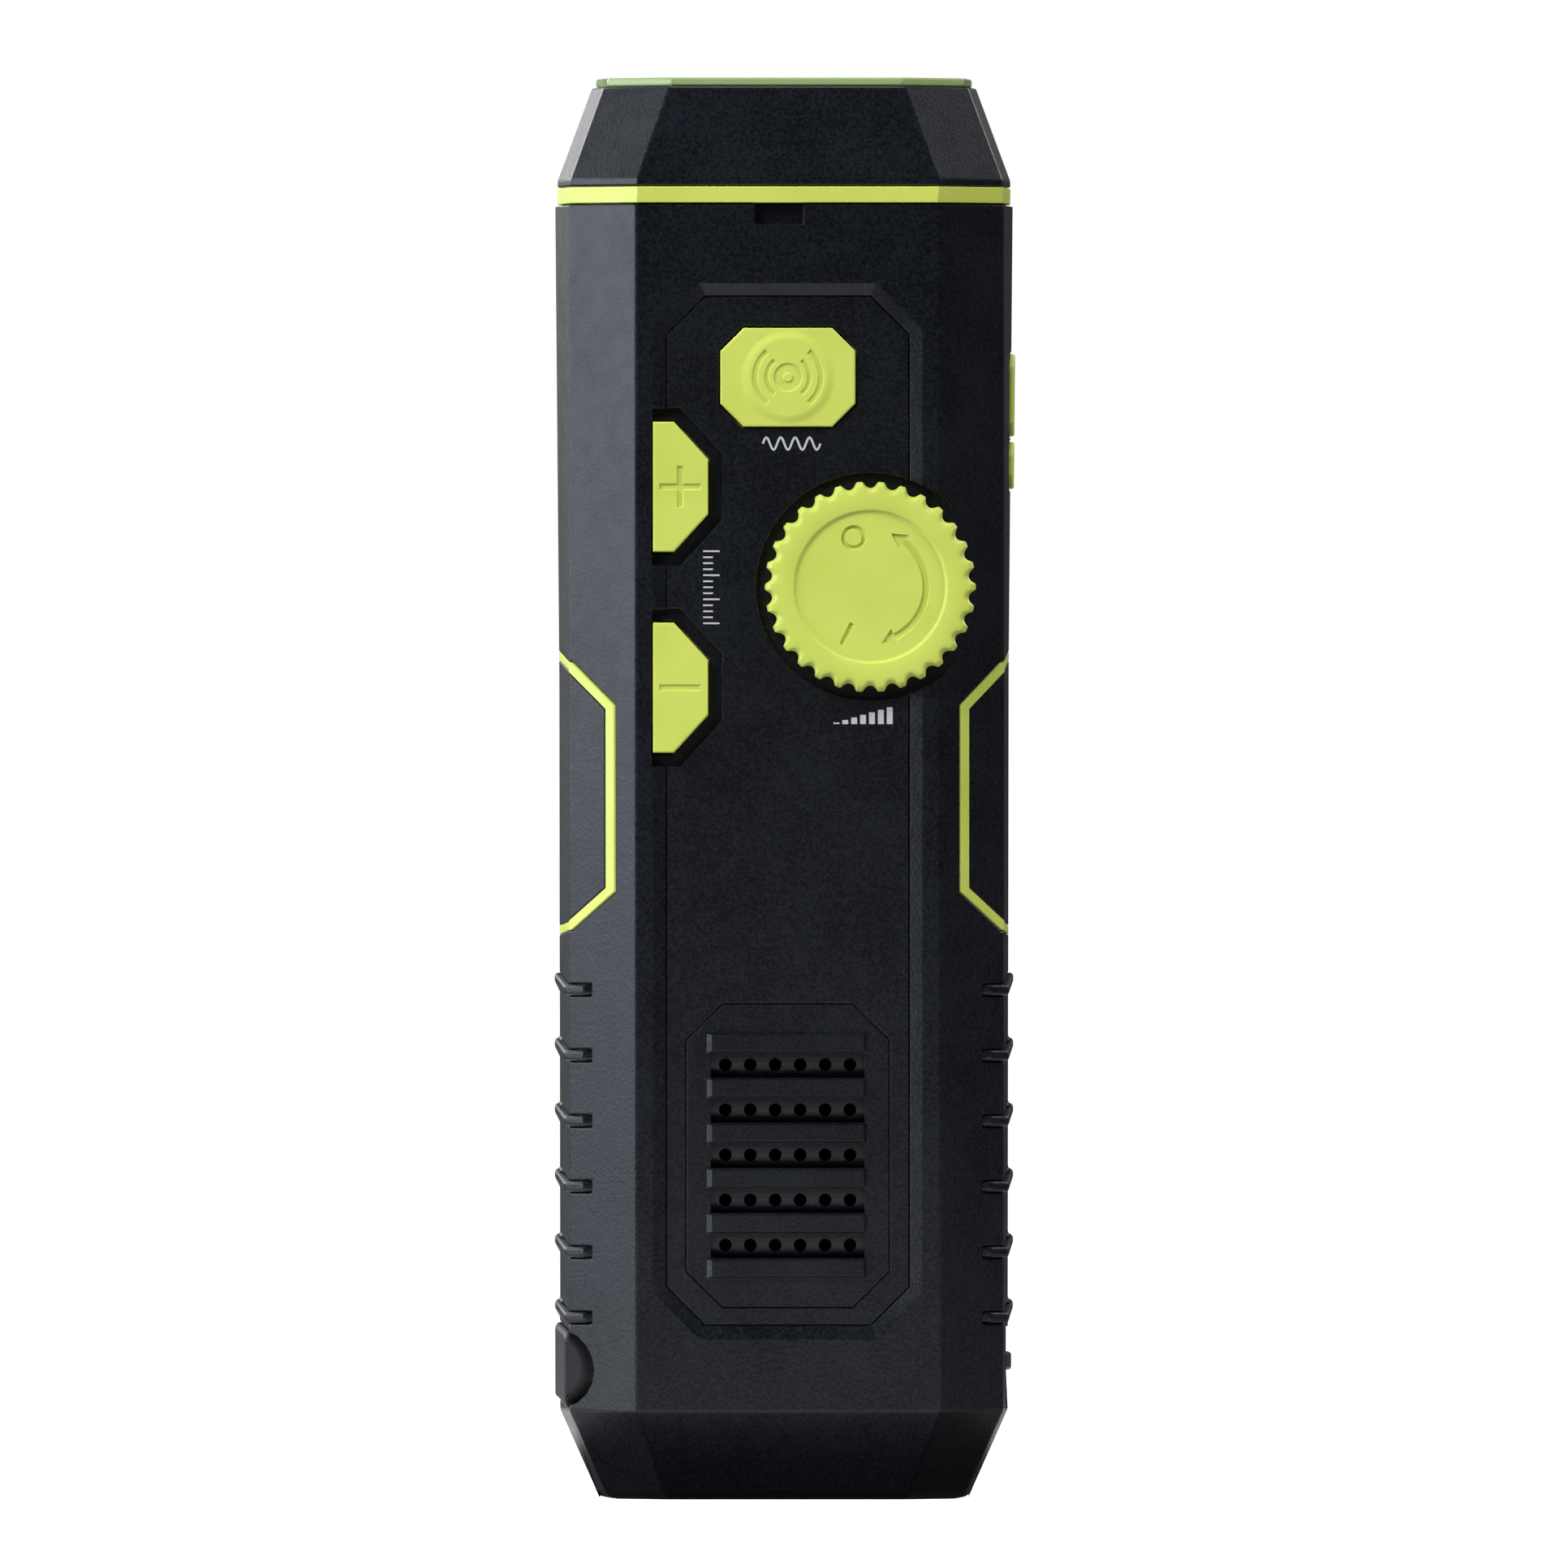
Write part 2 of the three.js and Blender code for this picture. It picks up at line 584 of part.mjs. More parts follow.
// Bars stand proud of the grille, and a slot with a sloping floor lies between each two.
function speakerGrille() {
  const plate = prismY(grilleOutline, GRILLE_FACE, FLOOR_Y - 0.05);
  const core = prismY(rectangle(-10.3, 10.3, GRILLE.bottom + 3.2, GRILLE.top - 3.2), FLOOR_Y - 0.1, -19.8);
  const bars = [];
  const cuts = [];
  for (let i = 0; i < 6; i++) {
    const z = SPEAKER.z + (2.5 - i) * SLAT_PITCH;
    bars.push(
      loftY([
        { y: GRILLE_FACE + 0.3, outline: rectangle(-10.1, 9.7, z - 1.22, z + 1.22) },
        { y: GRILLE_FACE - 0.45, outline: rectangle(-9.2, 9.2, z - 0.85, z + 0.85) },
      ]),
    );
    if (i === 5) break;
    const slot = z - SLAT_PITCH / 2;
    const slope = [
      [-30, slot - SLOT_TALL / 2],
      [-20.7, slot - SLOT_TALL / 2],
      [-21.3, slot + SLOT_TALL / 2],
      [-30, slot + SLOT_TALL / 2],
    ];
    cuts.push(prismX(slope, -SLOT_HALF, SLOT_HALF));
    for (let hole = -2.5; hole <= 2.5; hole++) {
      cuts.push(rodY(hole * HOLE_PITCH, slot, HOLE_R, -25, -15, 8));
    }
  }
  return joined([plate, core, ...bars]).subtract(joined(cuts));
}

// A key whose flange is held behind the front wall.
const key = (outline, face) =>
  prismY(outline, face, -19.4).add(prismY(grown(outline, 1.1), -19.45, -18.6));

const sirenButton = () =>
  key(sirenOutline, SIREN.face).add(rodY(0, SIREN.z, SIREN.boss, SIREN.bossFace, SIREN.face + 1, 32));
const tuningButton = () => key(tuningOutline(0), -23.05);

function volumeKnob() {
  const step = 360 / KNOB_TEETH;
  const outline = [];
  for (let tooth = 0; tooth < KNOB_TEETH; tooth++) {
    const middle = tooth * step;
    outline.push(...arc(KNOB.x, KNOB.z, KNOB.tip, middle - step * 0.16, middle + step * 0.16, 1));
    outline.push(...arc(KNOB.x, KNOB.z, KNOB.root, middle + step * 0.38, middle + step * 0.62, 1));
  }
  const grip = prismY(outline, KNOB.top + 0.5, KNOB.bottom);
  const cap = rodY(KNOB.x, KNOB.z, KNOB.root - 0.3, KNOB.top, KNOB.top + 0.6, 40);
  const dish = rodY(KNOB.x, KNOB.z, 9.2, KNOB.top - 1, KNOB.top + 0.4, 40);
  const bore = rodY(KNOB.x, KNOB.z, 3.06, -23.8, KNOB.bottom + 1, 20);
  return grip.add(cap).subtract(dish).subtract(bore);
}

const potShaft = () => rodY(KNOB.x, KNOB.z, 3, -23.7, -15.8, 20);
function volumePot() {
  const can = rodY(KNOB.x, KNOB.z, 7.5, -19.2, BOARD.front - 0.05, 28);
  return can.subtract(rodY(KNOB.x, KNOB.z, 3.2, -20, -15.5, 20));
}

// A small push switch, drawn on the board's face with its plunger towards -Y.
const keySwitch = () => block(-3, 3, -3, -0.05, -3, 3).add(rodY(0, 0, 1.7, -3.6, -2.9, 12));

function mainBoard() {
  const board = block(-BOARD.half, BOARD.half, BOARD.front, BOARD.back, BOARD.bottom, BOARD.top);
  const tuner = block(4, 12, BOARD.back - 0.1, -11.2, 78, 86);
  const amplifier = block(14, 19, BOARD.back - 0.1, -11.3, 91, 96);
  const capacitor = rodY(13, 102, 3.1, BOARD.back - 0.1, -5.4, 16);
  const socket = block(-5, 5, BOARD.back - 0.1, -8, 70.5, 75);
  return joined([board, tuner, amplifier, capacitor, socket]);
}

// ---------------------------------------------------------------- side pieces

const side = { left: [-40, -18], right: [18, 40] };

const sideTrim = ([x0, x1]) =>
  skin(0, SIDE_SEAT - 0.1).intersect(
    prismX(grown(trimLine, TRIM_HALF), x0, x1).subtract(prismX(grown(trimLine, -TRIM_HALF), x0 - 1, x1 + 1)),
  );
const sidePad = ([x0, x1]) =>
  skin(0, SIDE_SEAT - 0.1).intersect(prismX(grown(trimLine, -TRIM_HALF - CLEAR), x0, x1));

function grip([x0, x1]) {
  const ribs = joined(ribIndexes.map((index) => prismX(ribOutline(index, 0), x0, x1)));
  return skin(-0.6, 1).intersect(ribs).add(skin(0.02, 1).intersect(prismX(spineOutline(0), x0, x1)));
}

function portCover() {
  const lid = skin(-0.6, 1.1).intersect(prismX(portOutline(0), -40, -20));
  const plug = block(-26.3, -25.5, POCKET.y0 + 1, POCKET.y1 - 1, USB.z - 3.1, USB.z + 3.1);
  return lid.add(plug);
}
const portAnchor = () => skin(-0.3, 1.1).intersect(prismX(anchorOutline(0), -40, -20));

function usbSocket() {
  const x0 = POCKET.floor + 0.1;
  const [y0, y1] = [USB.y - USB.wide / 2, USB.y + USB.wide / 2];
  const [z0, z1] = [USB.z - USB.tall / 2, USB.z + USB.tall / 2];
  const can = block(x0, x0 + USB.deep, y0, y1, z0, z1);
  const mouth = block(x0 - 1, x0 + USB.deep - 3, y0 + 0.5, y1 - 0.5, z0 + 0.5, z1 - 0.5);
  const tongue = block(x0 + 1, x0 + USB.deep - 2, y0 + 1.2, y1 - 1.2, USB.z + 0.3, USB.z + 1.7);
  return can.subtract(mouth).add(tongue);
}

const strapBar = () => prismZ(bowOutline(0), STRAP.bar, STRAP.barTop);

// A side key follows the wall it stands in, and its flange is held behind that wall.
function sideKey(place) {
  const head = bodyInset(-0.45).subtract(bodyInset(3)).intersect(prismX(sideButton(place, 0), 20, 40));
  const stem = prismX(sideButton(place, -0.6), 24, 26);
  const flange = block(23.9, 24.9, -5.2, 5.2, place.bottom + 0.3, place.top - 0.3);
  return joined([head, stem, flange]);
}
// Drawn round its own middle, with its plunger towards +X.
const sideSwitch = () => block(0, 1.45, -2.2, 2.3, -2.2, 2.2).add(rodX(0, 0, 1.2, 1.4, 1.95, 12));
const sideBoard = () => block(19.9, 21.1, -8, 0.6, 120.5, 141);

// ---------------------------------------------------------------- head

const spigotOutline = (t) => hollow(sectionAt(BODY_SECTIONS, BODY_TOP), WALL + t);
const headLayer = (z0, z1, t) =>
  sectionLoft([z0, z1].map((z) => ({ ...inset(sectionAt(HEAD_SECTIONS, z), t), z })));

const accentRing = () => headLayer(RING_BOTTOM, RING_TOP, 0).subtract(prismZ(spigotOutline(0.1), 150, 165));

function headBezel() {
  const spigot = prismZ(spigotOutline(0.2), 153, 160.5);
  const socket = prismZ(spigotOutline(1.8), 150, 165);
  return sectionLoft(HEAD_SECTIONS).add(spigot).subtract(socket).subtract(headLayer(161, HEAD_TOP + 1, 2.4));
}

const headLens = () => headLayer(171.85, LENS_TOP, 0.5).add(headLayer(170.4, 171.9, 2.55));
const lensGasket = () => headLayer(169.95, 170.35, 2.6).subtract(headLayer(169, 171, 3.9));

// A dished mirror under an eight-sided flange that fills the head.
function reflector() {
  const curve = (z) => Math.sqrt(13.4 * (z - 150.6));
  const heights = [151.4, 153, 156, 161.5, 169.9];
  const profile = [
    ...heights.map((z) => [curve(z) + 0.9, z]),
    ...heights.map((z) => [curve(z), z]).reverse(),
  ];
  const hole = turnedZ([[0, 168], [15.9, 168], [15.9, 171], [0, 171]]);
  const flange = headLayer(168.9, 169.9, 2.6).subtract(hole);
  return turnedZ(profile).add(flange);
}

const ledBoard = () => rodZ(0, 0, 9, 149.6, 151, 32);
function torchLed() {
  const dome = [[0, 151.05], [2.5, 151.05], [2.5, 151.6], [2.1, 152.5], [1.2, 153.2], [0, 153.4]];
  return turnedZ(dome, 20);
}

// ---------------------------------------------------------------- sound and power

const at = (y) => SPEAKER.front + y; // distance behind the speaker's front rim

const speakerFrame = () =>
  turnedY(0, SPEAKER.z, [
    [16.4, at(0)], [SPEAKER.r, at(0)], [SPEAKER.r, at(1.6)], [16.6, at(1.6)], [12, at(6.5)], [9.5, at(6.5)],
    [9.5, at(5.7)], [11.3, at(5.7)], [16.1, at(0.9)],
  ], 32);
const speakerCone = () =>
  turnedY(0, SPEAKER.z, [
    [0, at(3)], [3, at(3.4)], [5, at(4.4)], [13.2, at(1.2)], [14.8, at(0.5)], [15.9, at(0.5)],
    [15.9, at(0.8)], [15, at(0.8)], [13.4, at(1.6)], [5, at(4.9)], [2.8, at(3.8)], [0, at(3.4)],
  ], 32);
const speakerMagnet = () => rodY(0, SPEAKER.z, 11.5, at(6.6), at(13.6), 28);

function batteryPack() {
  const cells = [-1, 0, 1].map((i) => rodZ(i * (CELL_R * 2 - 0.1), 13.5, CELL_R, 14, 14 + CELL_LENGTH, 20));
  return joined(cells);
}

const ferriteRod = () => rodZ(-15, -6.2, 4, 72, 112, 20);
const aerialCoil = () => rodZ(-15, -6.2, 5.1, 80, 98, 20).subtract(rodZ(-15, -6.2, 4.1, 79, 99, 20));

// ---------------------------------------------------------------- gears and crank

// Short involute teeth, thinned for backlash. The first tooth points along the phase, in degrees.
function gear(centre, module, teeth, phase, y0, y1) {
  const pitch = (module * teeth) / 2;
  const base = pitch * Math.cos(Math.PI / 9);
  const tip = pitch + 0.8 * module;
  const root = pitch - 1.05 * module;
  const involute = (r) => Math.tan(Math.acos(base / r)) - Math.acos(base / r);
  const thinned = Math.PI / (2 * teeth) - 0.045 / pitch + involute(pitch);
  const half = (r) => thinned - involute(Math.max(r, base * 1.0001));
  const flank = [root, pitch, tip];
  const outline = [];
  for (let tooth = 0; tooth < teeth; tooth++) {
    const middle = (phase * Math.PI) / 180 + (tooth * 2 * Math.PI) / teeth;
    const point = (r, angle) => [centre.x + r * Math.cos(angle), centre.z + r * Math.sin(angle)];
    outline.push(...flank.map((r) => point(r, middle - half(r))));
    outline.push(...[...flank].reverse().map((r) => point(r, middle + half(r))));
  }
  return prismY(outline, y0, y1);
}

function crankGear() {
  const wheel = gear(CRANK, FIRST.module, FIRST.wheel, FIRST.angle, FIRST.front, FIRST.back);
  const hub = rodY(CRANK.x, CRANK.z, 5.5, 6.6, FIRST.back, 24);
  return wheel.add(hub).subtract(rodY(CRANK.x, CRANK.z, 3.06, 0, 20, 24));
}

function idlerGear() {
  const phase = FIRST.angle + 180 + 180 / FIRST.pinion;
  const pinion = gear(IDLER, FIRST.module, FIRST.pinion, phase, SECOND.back - 0.1, FIRST.back);
  const wheel = gear(IDLER, SECOND.module, SECOND.wheel, SECOND.angle, SECOND.front, SECOND.back);
  return pinion.add(wheel).subtract(rodY(IDLER.x, IDLER.z, 1.28, 0, 20, 16));
}

const idlerAxle = () => rodY(IDLER.x, IDLER.z, 1.2, 0.9, 12.6, 16);

function dynamoRotor() {
  const phase = SECOND.angle + 180 + 180 / SECOND.pinion;
  const pinion = gear(ROTOR, SECOND.module, SECOND.pinion, phase, SECOND.front, SECOND.back);
  const shaft = rodY(ROTOR.x, ROTOR.z, 1.4, DYNAMO.front + 0.2, SECOND.back + 0.4, 16);
  return joined([shaft, pinion, rodY(ROTOR.x, ROTOR.z, 9, -8, -1, 24)]);
}

function dynamoCan() {
  const can = rodY(ROTOR.x, ROTOR.z, DYNAMO.r, DYNAMO.front, DYNAMO.back, 32);
  const bore = rodY(ROTOR.x, ROTOR.z, 10, -8.8, -0.2, 32);
  return can.subtract(bore).subtract(rodY(ROTOR.x, ROTOR.z, 1.48, -20, 20, 16));
}

function gearboxPlate() {
  const outline = [
    [-19, 85], [19, 85], [23, 112], [23, 118], [10, 143.5], [-4, 144], [-18, 133], [-23, 121], [-23, 116],
  ];
  const holes = PLATE_LEGS.map(([x, z]) => rodY(x, z, 1, 0, 4, 8));
  return prismY(outline, PLATE.front, PLATE.back).subtract(
    joined([
      ...holes,
      rodY(CRANK.x, CRANK.z, 2.08, 0, 4, 20),
      rodY(IDLER.x, IDLER.z, 1.3, 0, 4, 16),
      rodY(ROTOR.x, ROTOR.z, 1.6, 0, 4, 16),
    ]),
  );
}

const crankShaft = () =>
  rodY(CRANK.x, CRANK.z, 2, 0.8, 4, 20)
    .add(rodY(CRANK.x, CRANK.z, 3, 3.4, 19.6, 24))
    .subtract(rodY(CRANK.x, CRANK.z, 1.5, 13, 21, 12));
const crankBush = () =>
  rodY(CRANK.x, CRANK.z, 4.85, 12, 14.9, 32).subtract(rodY(CRANK.x, CRANK.z, 3.08, 10, 16, 24));

function crankArm() {
  const hub = rodY(CRANK.x, CRANK.z, ARM.hub, ARM.under, ARM.face, 32);
  const bar = [
    [-ARM.half + 2, ARM.end], [ARM.half - 2, ARM.end], [ARM.half, ARM.end + 2], [ARM.half, CRANK.z],
    [-ARM.half, CRANK.z], [-ARM.half, ARM.end + 2],
  ];
  return hub
    .add(prismY(bar, ARM.under, ARM.face))
    .subtract(block(-FORK.half, FORK.half, 10, 30, FORK.bottom, FORK.top))
    .subtract(rodX(HINGE.y, HINGE.z, 1.55, -10, 10, 16))
    .subtract(rodY(CRANK.x, CRANK.z, 3.06, 10, 20, 24))
    .subtract(rodY(CRANK.x, CRANK.z, 3.7, 19.7, 30, 24));
}
function crankScrew() {
  const shank = rodY(CRANK.x, CRANK.z, 1.4, 14, 19.9, 12);
  const head = rodY(CRANK.x, CRANK.z, 3.3, 19.8, 21.9, 24);
  const cross = block(-2, 2, 20.9, 24, CRANK.z - 0.4, CRANK.z + 0.4);
  return shank.add(head).subtract(cross).subtract(block(-0.4, 0.4, 20.9, 24, CRANK.z - 2, CRANK.z + 2));
}

const hingePin = () => rodX(HINGE.y, HINGE.z, 1.45, -6.3, 6.3, 16);
function knobBracket() {
  const hub = rodX(HINGE.y, HINGE.z, 3.3, -4.1, 4.1, 24);
  const shoulder = rodZ(0, HINGE.y, 2.6, HINGE.z + 1, GRIP.bottom - 0.2, 20);
  const spindle = rodZ(0, HINGE.y, 1.5, HINGE.z + 1, GRIP.top + 0.5, 16);
  const cap = rodZ(0, HINGE.y, 2.7, GRIP.top + 0.15, GRIP.top + 0.85, 20);
  return joined([hub, shoulder, spindle, cap]).subtract(rodX(HINGE.y, HINGE.z, 1.55, -10, 10, 16));
}
const crankKnob = () =>
  rodZ(0, HINGE.y, GRIP.r, GRIP.bottom, GRIP.top, 28).subtract(rodZ(0, HINGE.y, 1.58, 70, 100, 20));

// ---------------------------------------------------------------- assembly

// A group whose own origin is a point of the part. It keeps that point for the pieces put in it.
function assembly(name, parent, ...point) {
  const group = new THREE.Group();
  group.name = name;
  group.userData.point = new THREE.Vector3(...point);
  group.position.copy(group.userData.point);
  if (!parent) return group;
  group.position.sub(parent.userData.point);
  parent.add(group);
  return group;
}

// A piece drawn in the part's axes, put in a group.
function place(group, name, body, finish) {
  const { x, y, z } = group.userData.point;
  const mesh = new THREE.Mesh(geometryOf(body).translate(-x, -y, -z), finish);
  mesh.name = name;
  group.add(mesh);
}

// Copies of a piece drawn round its own origin, each at its own point of the part.
function repeat(group, body, finish, spots) {
  const geometry = geometryOf(body);
  for (const [name, ...point] of spots) {
    const mesh = new THREE.Mesh(geometry, finish);
    mesh.name = name;
    mesh.position.set(...point).sub(group.userData.point);
    group.add(mesh);
  }
}

const radio = assembly("radio", null, 0, 0, 0);

const casing = assembly("casing", radio, 0, 0, 0);
place(casing, "front_shell", frontShell(), BLACK);
place(casing, "rear_shell", rearShell(), BLACK);
for (const [name, span] of Object.entries(side)) {
  place(casing, "side_trim_" + name, sideTrim(span), LIME);
  place(casing, "side_pad_" + name, sidePad(span), BLACK);
  place(casing, "grip_" + name, grip(span), BLACK);
}
place(casing, "strap_bar", strapBar(), BLACK);
const screwSpots = SCREWS.map(([x, z], index) => ["rear_screw_" + (index + 1), x, SCREW_SEAT + 0.1, z]);
repeat(casing, rearScrew(), STEEL, screwSpots);

const head = assembly("head", radio, 0, 0, RING_BOTTOM);
place(head, "accent_ring", accentRing(), LIME);
place(head, "head_bezel", headBezel(), BLACK);
place(head, "head_lens", headLens(), CLEAR_GREEN);
place(head, "lens_gasket", lensGasket(), RUBBER);
place(head, "reflector", reflector(), CHROME);
place(head, "led_board", ledBoard(), BOARD_GREEN);
place(head, "torch_led", torchLed(), WHITE_NYLON);

const controls = assembly("controls", radio, 0, FLOOR_Y, 0);
place(controls, "control_panel", controlPanel(), BLACK);
place(controls, "speaker_grille", speakerGrille(), BLACK);
place(controls, "siren_button", sirenButton(), LIME);
repeat(controls, tuningButton(), LIME, [
  ["tuning_up_button", 0, 0, TUNING_UP_Z],
  ["tuning_down_button", 0, 0, TUNING_DOWN_Z],
]);
const volume = assembly("volume", controls, KNOB.x, FLOOR_Y, KNOB.z);
place(volume, "volume_knob", volumeKnob(), LIME);
place(volume, "pot_shaft", potShaft(), BRASS);

const electronics = assembly("electronics", radio, 0, BOARD.front, 0);
place(electronics, "main_board", mainBoard(), BOARD_GREEN);
place(electronics, "volume_pot", volumePot(), GREY_PLASTIC);
repeat(electronics, keySwitch(), GREY_PLASTIC, [
  ["siren_switch", 0, BOARD.front, SIREN.z],
  ["tuning_up_switch", -13, BOARD.front, TUNING_UP_Z],
  ["tuning_down_switch", -13, BOARD.front, TUNING_DOWN_Z],
]);
place(electronics, "ferrite_rod", ferriteRod(), FERRITE);
place(electronics, "aerial_coil", aerialCoil(), COPPER);
place(electronics, "battery_pack", batteryPack(), CELL_WRAP);
place(electronics, "usb_socket", usbSocket(), STEEL);

const speaker = assembly("speaker", radio, 0, SPEAKER.front, SPEAKER.z);
place(speaker, "speaker_frame", speakerFrame(), STEEL);
place(speaker, "speaker_cone", speakerCone(), PAPER);
place(speaker, "speaker_magnet", speakerMagnet(), STEEL);

const sideKeys = assembly("side_keys", radio, 24, 0, TORCH_BUTTON.bottom);
place(sideKeys, "torch_button", sideKey(TORCH_BUTTON), LIME);
place(sideKeys, "flash_button", sideKey(FLASH_BUTTON), LIME);
place(sideKeys, "side_board", sideBoard(), BOARD_GREEN);
repeat(sideKeys, sideSwitch(), GREY_PLASTIC, [
  ["torch_switch", 21.15, -3, (TORCH_BUTTON.bottom + TORCH_BUTTON.top) / 2],
  ["flash_switch", 21.15, -3, (FLASH_BUTTON.bottom + FLASH_BUTTON.top) / 2],
]);

const port = assembly("port", radio, -27.5, PORT.back, ANCHOR.z);
place(port, "port_cover", portCover(), RUBBER);
place(port, "port_cover_anchor", portAnchor(), RUBBER);

const gearbox = assembly("gearbox", radio, IDLER.x, PLATE.front, IDLER.z);
place(gearbox, "gearbox_plate", gearboxPlate(), STEEL);
place(gearbox, "idler_gear", idlerGear(), WHITE_NYLON);
place(gearbox, "idler_axle", idlerAxle(), STEEL);
const dynamo = assembly("dynamo", gearbox, ROTOR.x, DYNAMO.front, ROTOR.z);
place(dynamo, "dynamo_can", dynamoCan(), STEEL);
place(dynamo, "dynamo_rotor", dynamoRotor(), BRASS);

const crank = assembly("crank", radio, CRANK.x, HINGE.y, CRANK.z);
place(crank, "crank_bush", crankBush(), BRASS);
place(crank, "crank_shaft", crankShaft(), STEEL);
place(crank, "crank_gear", crankGear(), WHITE_NYLON);
place(crank, "crank_arm", crankArm(), BLACK);
place(crank, "crank_screw", crankScrew(), STEEL);
const fold = assembly("fold", crank, CRANK.x, HINGE.y, HINGE.z);
place(fold, "knob_hinge_pin", hingePin(), STEEL);
place(fold, "knob_bracket", knobBracket(), STEEL);
place(fold, "crank_knob", crankKnob(), LIME);

export default radio;
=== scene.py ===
import json
import math

import bmesh
import bpy
from mathutils import Matrix, Vector


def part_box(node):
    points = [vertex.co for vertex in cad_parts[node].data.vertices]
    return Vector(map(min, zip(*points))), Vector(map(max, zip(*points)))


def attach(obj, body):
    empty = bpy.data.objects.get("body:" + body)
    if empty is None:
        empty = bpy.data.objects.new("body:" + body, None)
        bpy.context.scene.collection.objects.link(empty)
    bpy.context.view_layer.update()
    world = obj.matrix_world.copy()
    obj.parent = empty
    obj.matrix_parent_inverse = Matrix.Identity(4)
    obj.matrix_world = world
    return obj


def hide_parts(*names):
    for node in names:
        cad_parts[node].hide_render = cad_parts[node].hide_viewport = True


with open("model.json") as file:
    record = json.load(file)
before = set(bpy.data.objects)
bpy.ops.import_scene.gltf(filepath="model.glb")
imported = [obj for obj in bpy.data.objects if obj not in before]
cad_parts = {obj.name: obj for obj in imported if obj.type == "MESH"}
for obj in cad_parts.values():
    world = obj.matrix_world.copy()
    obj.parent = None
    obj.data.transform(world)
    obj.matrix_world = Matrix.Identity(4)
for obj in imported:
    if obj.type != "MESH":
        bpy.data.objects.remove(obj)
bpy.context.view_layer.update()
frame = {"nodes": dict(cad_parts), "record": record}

MM = 0.001
nodes = frame["nodes"]
bodies = {n: b for b, members in frame["record"]["behaviour"]["bodies"].items() for n in members}
slots = {s["node"]: s["material_slot"] for s in frame["record"]["subparts"]}
scene = bpy.context.scene


# ---------------------------------------------------------------- materials

class Nodes:
    """A material's node tree, built one node at a time."""

    def __init__(self, name):
        self.material = bpy.data.materials.new(name)
        self.material.use_nodes = True
        self.tree = self.material.node_tree
        self.tree.nodes.clear()
        self.output = self.add("ShaderNodeOutputMaterial")
        self.shader = self.add("ShaderNodeBsdfPrincipled")
        self.link(self.shader.outputs["BSDF"], self.output.inputs["Surface"])
        self.place = self.add("ShaderNodeTexCoord").outputs["Object"]

    def add(self, kind, **inputs):
        node = self.tree.nodes.new(kind)
        for name, value in inputs.items():
            node.inputs[name.replace("_", " ")].default_value = value
        return node

    def link(self, a, b):
        self.tree.links.new(a, b)

    def noise(self, size_mm, detail=3.0, rough=0.55, stretch=None):
        """A noise whose features are about size_mm across."""
        node = self.add("ShaderNodeTexNoise", Scale=1000.0 / size_mm, Detail=detail, Roughness=rough)
        where = self.place
        if stretch:
            mapping = self.add("ShaderNodeMapping")
            mapping.inputs["Scale"].default_value = stretch
            self.link(where, mapping.inputs["Vector"])
            where = mapping.outputs["Vector"]
        self.link(where, node.inputs["Vector"])
        return node.outputs["Fac"]

    def mixed(self, a, b, share):
        """Two values averaged, with this share of the second."""
        node = self.add("ShaderNodeMix")
        node.inputs[0].default_value = share
        self.link(a, node.inputs[2])
        self.link(b, node.inputs[3])
        return node.outputs[0]

    def spread(self, value, low, high, start=0.3, end=0.7):
        """A value from start to end becomes low to high."""
        node = self.add("ShaderNodeMapRange")
        for name, number in (("From Min", start), ("From Max", end), ("To Min", low), ("To Max", high)):
            node.inputs[name].default_value = number
        self.link(value, node.inputs["Value"])
        return node.outputs["Result"]

    def ramp(self, value, stops):
        node = self.add("ShaderNodeValToRGB")
        elements = node.color_ramp.elements
        while len(elements) < len(stops):
            elements.new(0.5)
        for element, (place, color) in zip(elements, stops):
            element.position, element.color = place, (*color, 1)
        self.link(value, node.inputs["Fac"])
        self.link(node.outputs["Color"], self.shader.inputs["Base Color"])

    def bump(self, heights):
        """heights is a list of (value, depth in mm)."""
        normal = None
        for value, depth in heights:
            node = self.add("ShaderNodeBump", Strength=1.0, Distance=depth * MM)
            self.link(value, node.inputs["Height"])
            if normal:
                self.link(normal, node.inputs["Normal"])
            normal = node.outputs["Normal"]
        self.link(normal, self.shader.inputs["Normal"])

    def set(self, **inputs):
        for name, value in inputs.items():
            self.shader.inputs[name.replace("_", " ")].default_value = value


def moulded(name, dark, light, rough, grain_mm, grain_depth, fleck=0.5, **more):
    """Moulded plastic: a fine spark-eroded grain, with slow changes of colour and gloss."""
    n = Nodes(name)
    grain = n.noise(grain_mm, 2.0, 0.6)
    n.ramp(n.mixed(n.noise(9.0, 2.0), grain, fleck), [(0.40, dark), (0.60, light)])
    n.link(n.spread(n.noise(2.5, 3.0), rough - 0.04, rough + 0.05), n.shader.inputs["Roughness"])
    n.bump([(grain, grain_depth), (n.noise(7.0, 1.0), 0.012)])
    n.set(**more)
    return n.material


def metal(name, dark, light, rough, stretch=(1, 1, 1), depth=0.002):
    n = Nodes(name)
    n.ramp(n.noise(1.2, 4.0, 0.6, stretch), [(0.3, dark), (0.7, light)])
    gloss = n.spread(n.noise(0.6, 4.0, 0.6, stretch), rough - 0.08, rough + 0.1)
    n.link(gloss, n.shader.inputs["Roughness"])
    n.bump([(n.noise(0.35, 3.0, 0.6, stretch), depth)])
    n.set(Metallic=1.0)
    return n.material


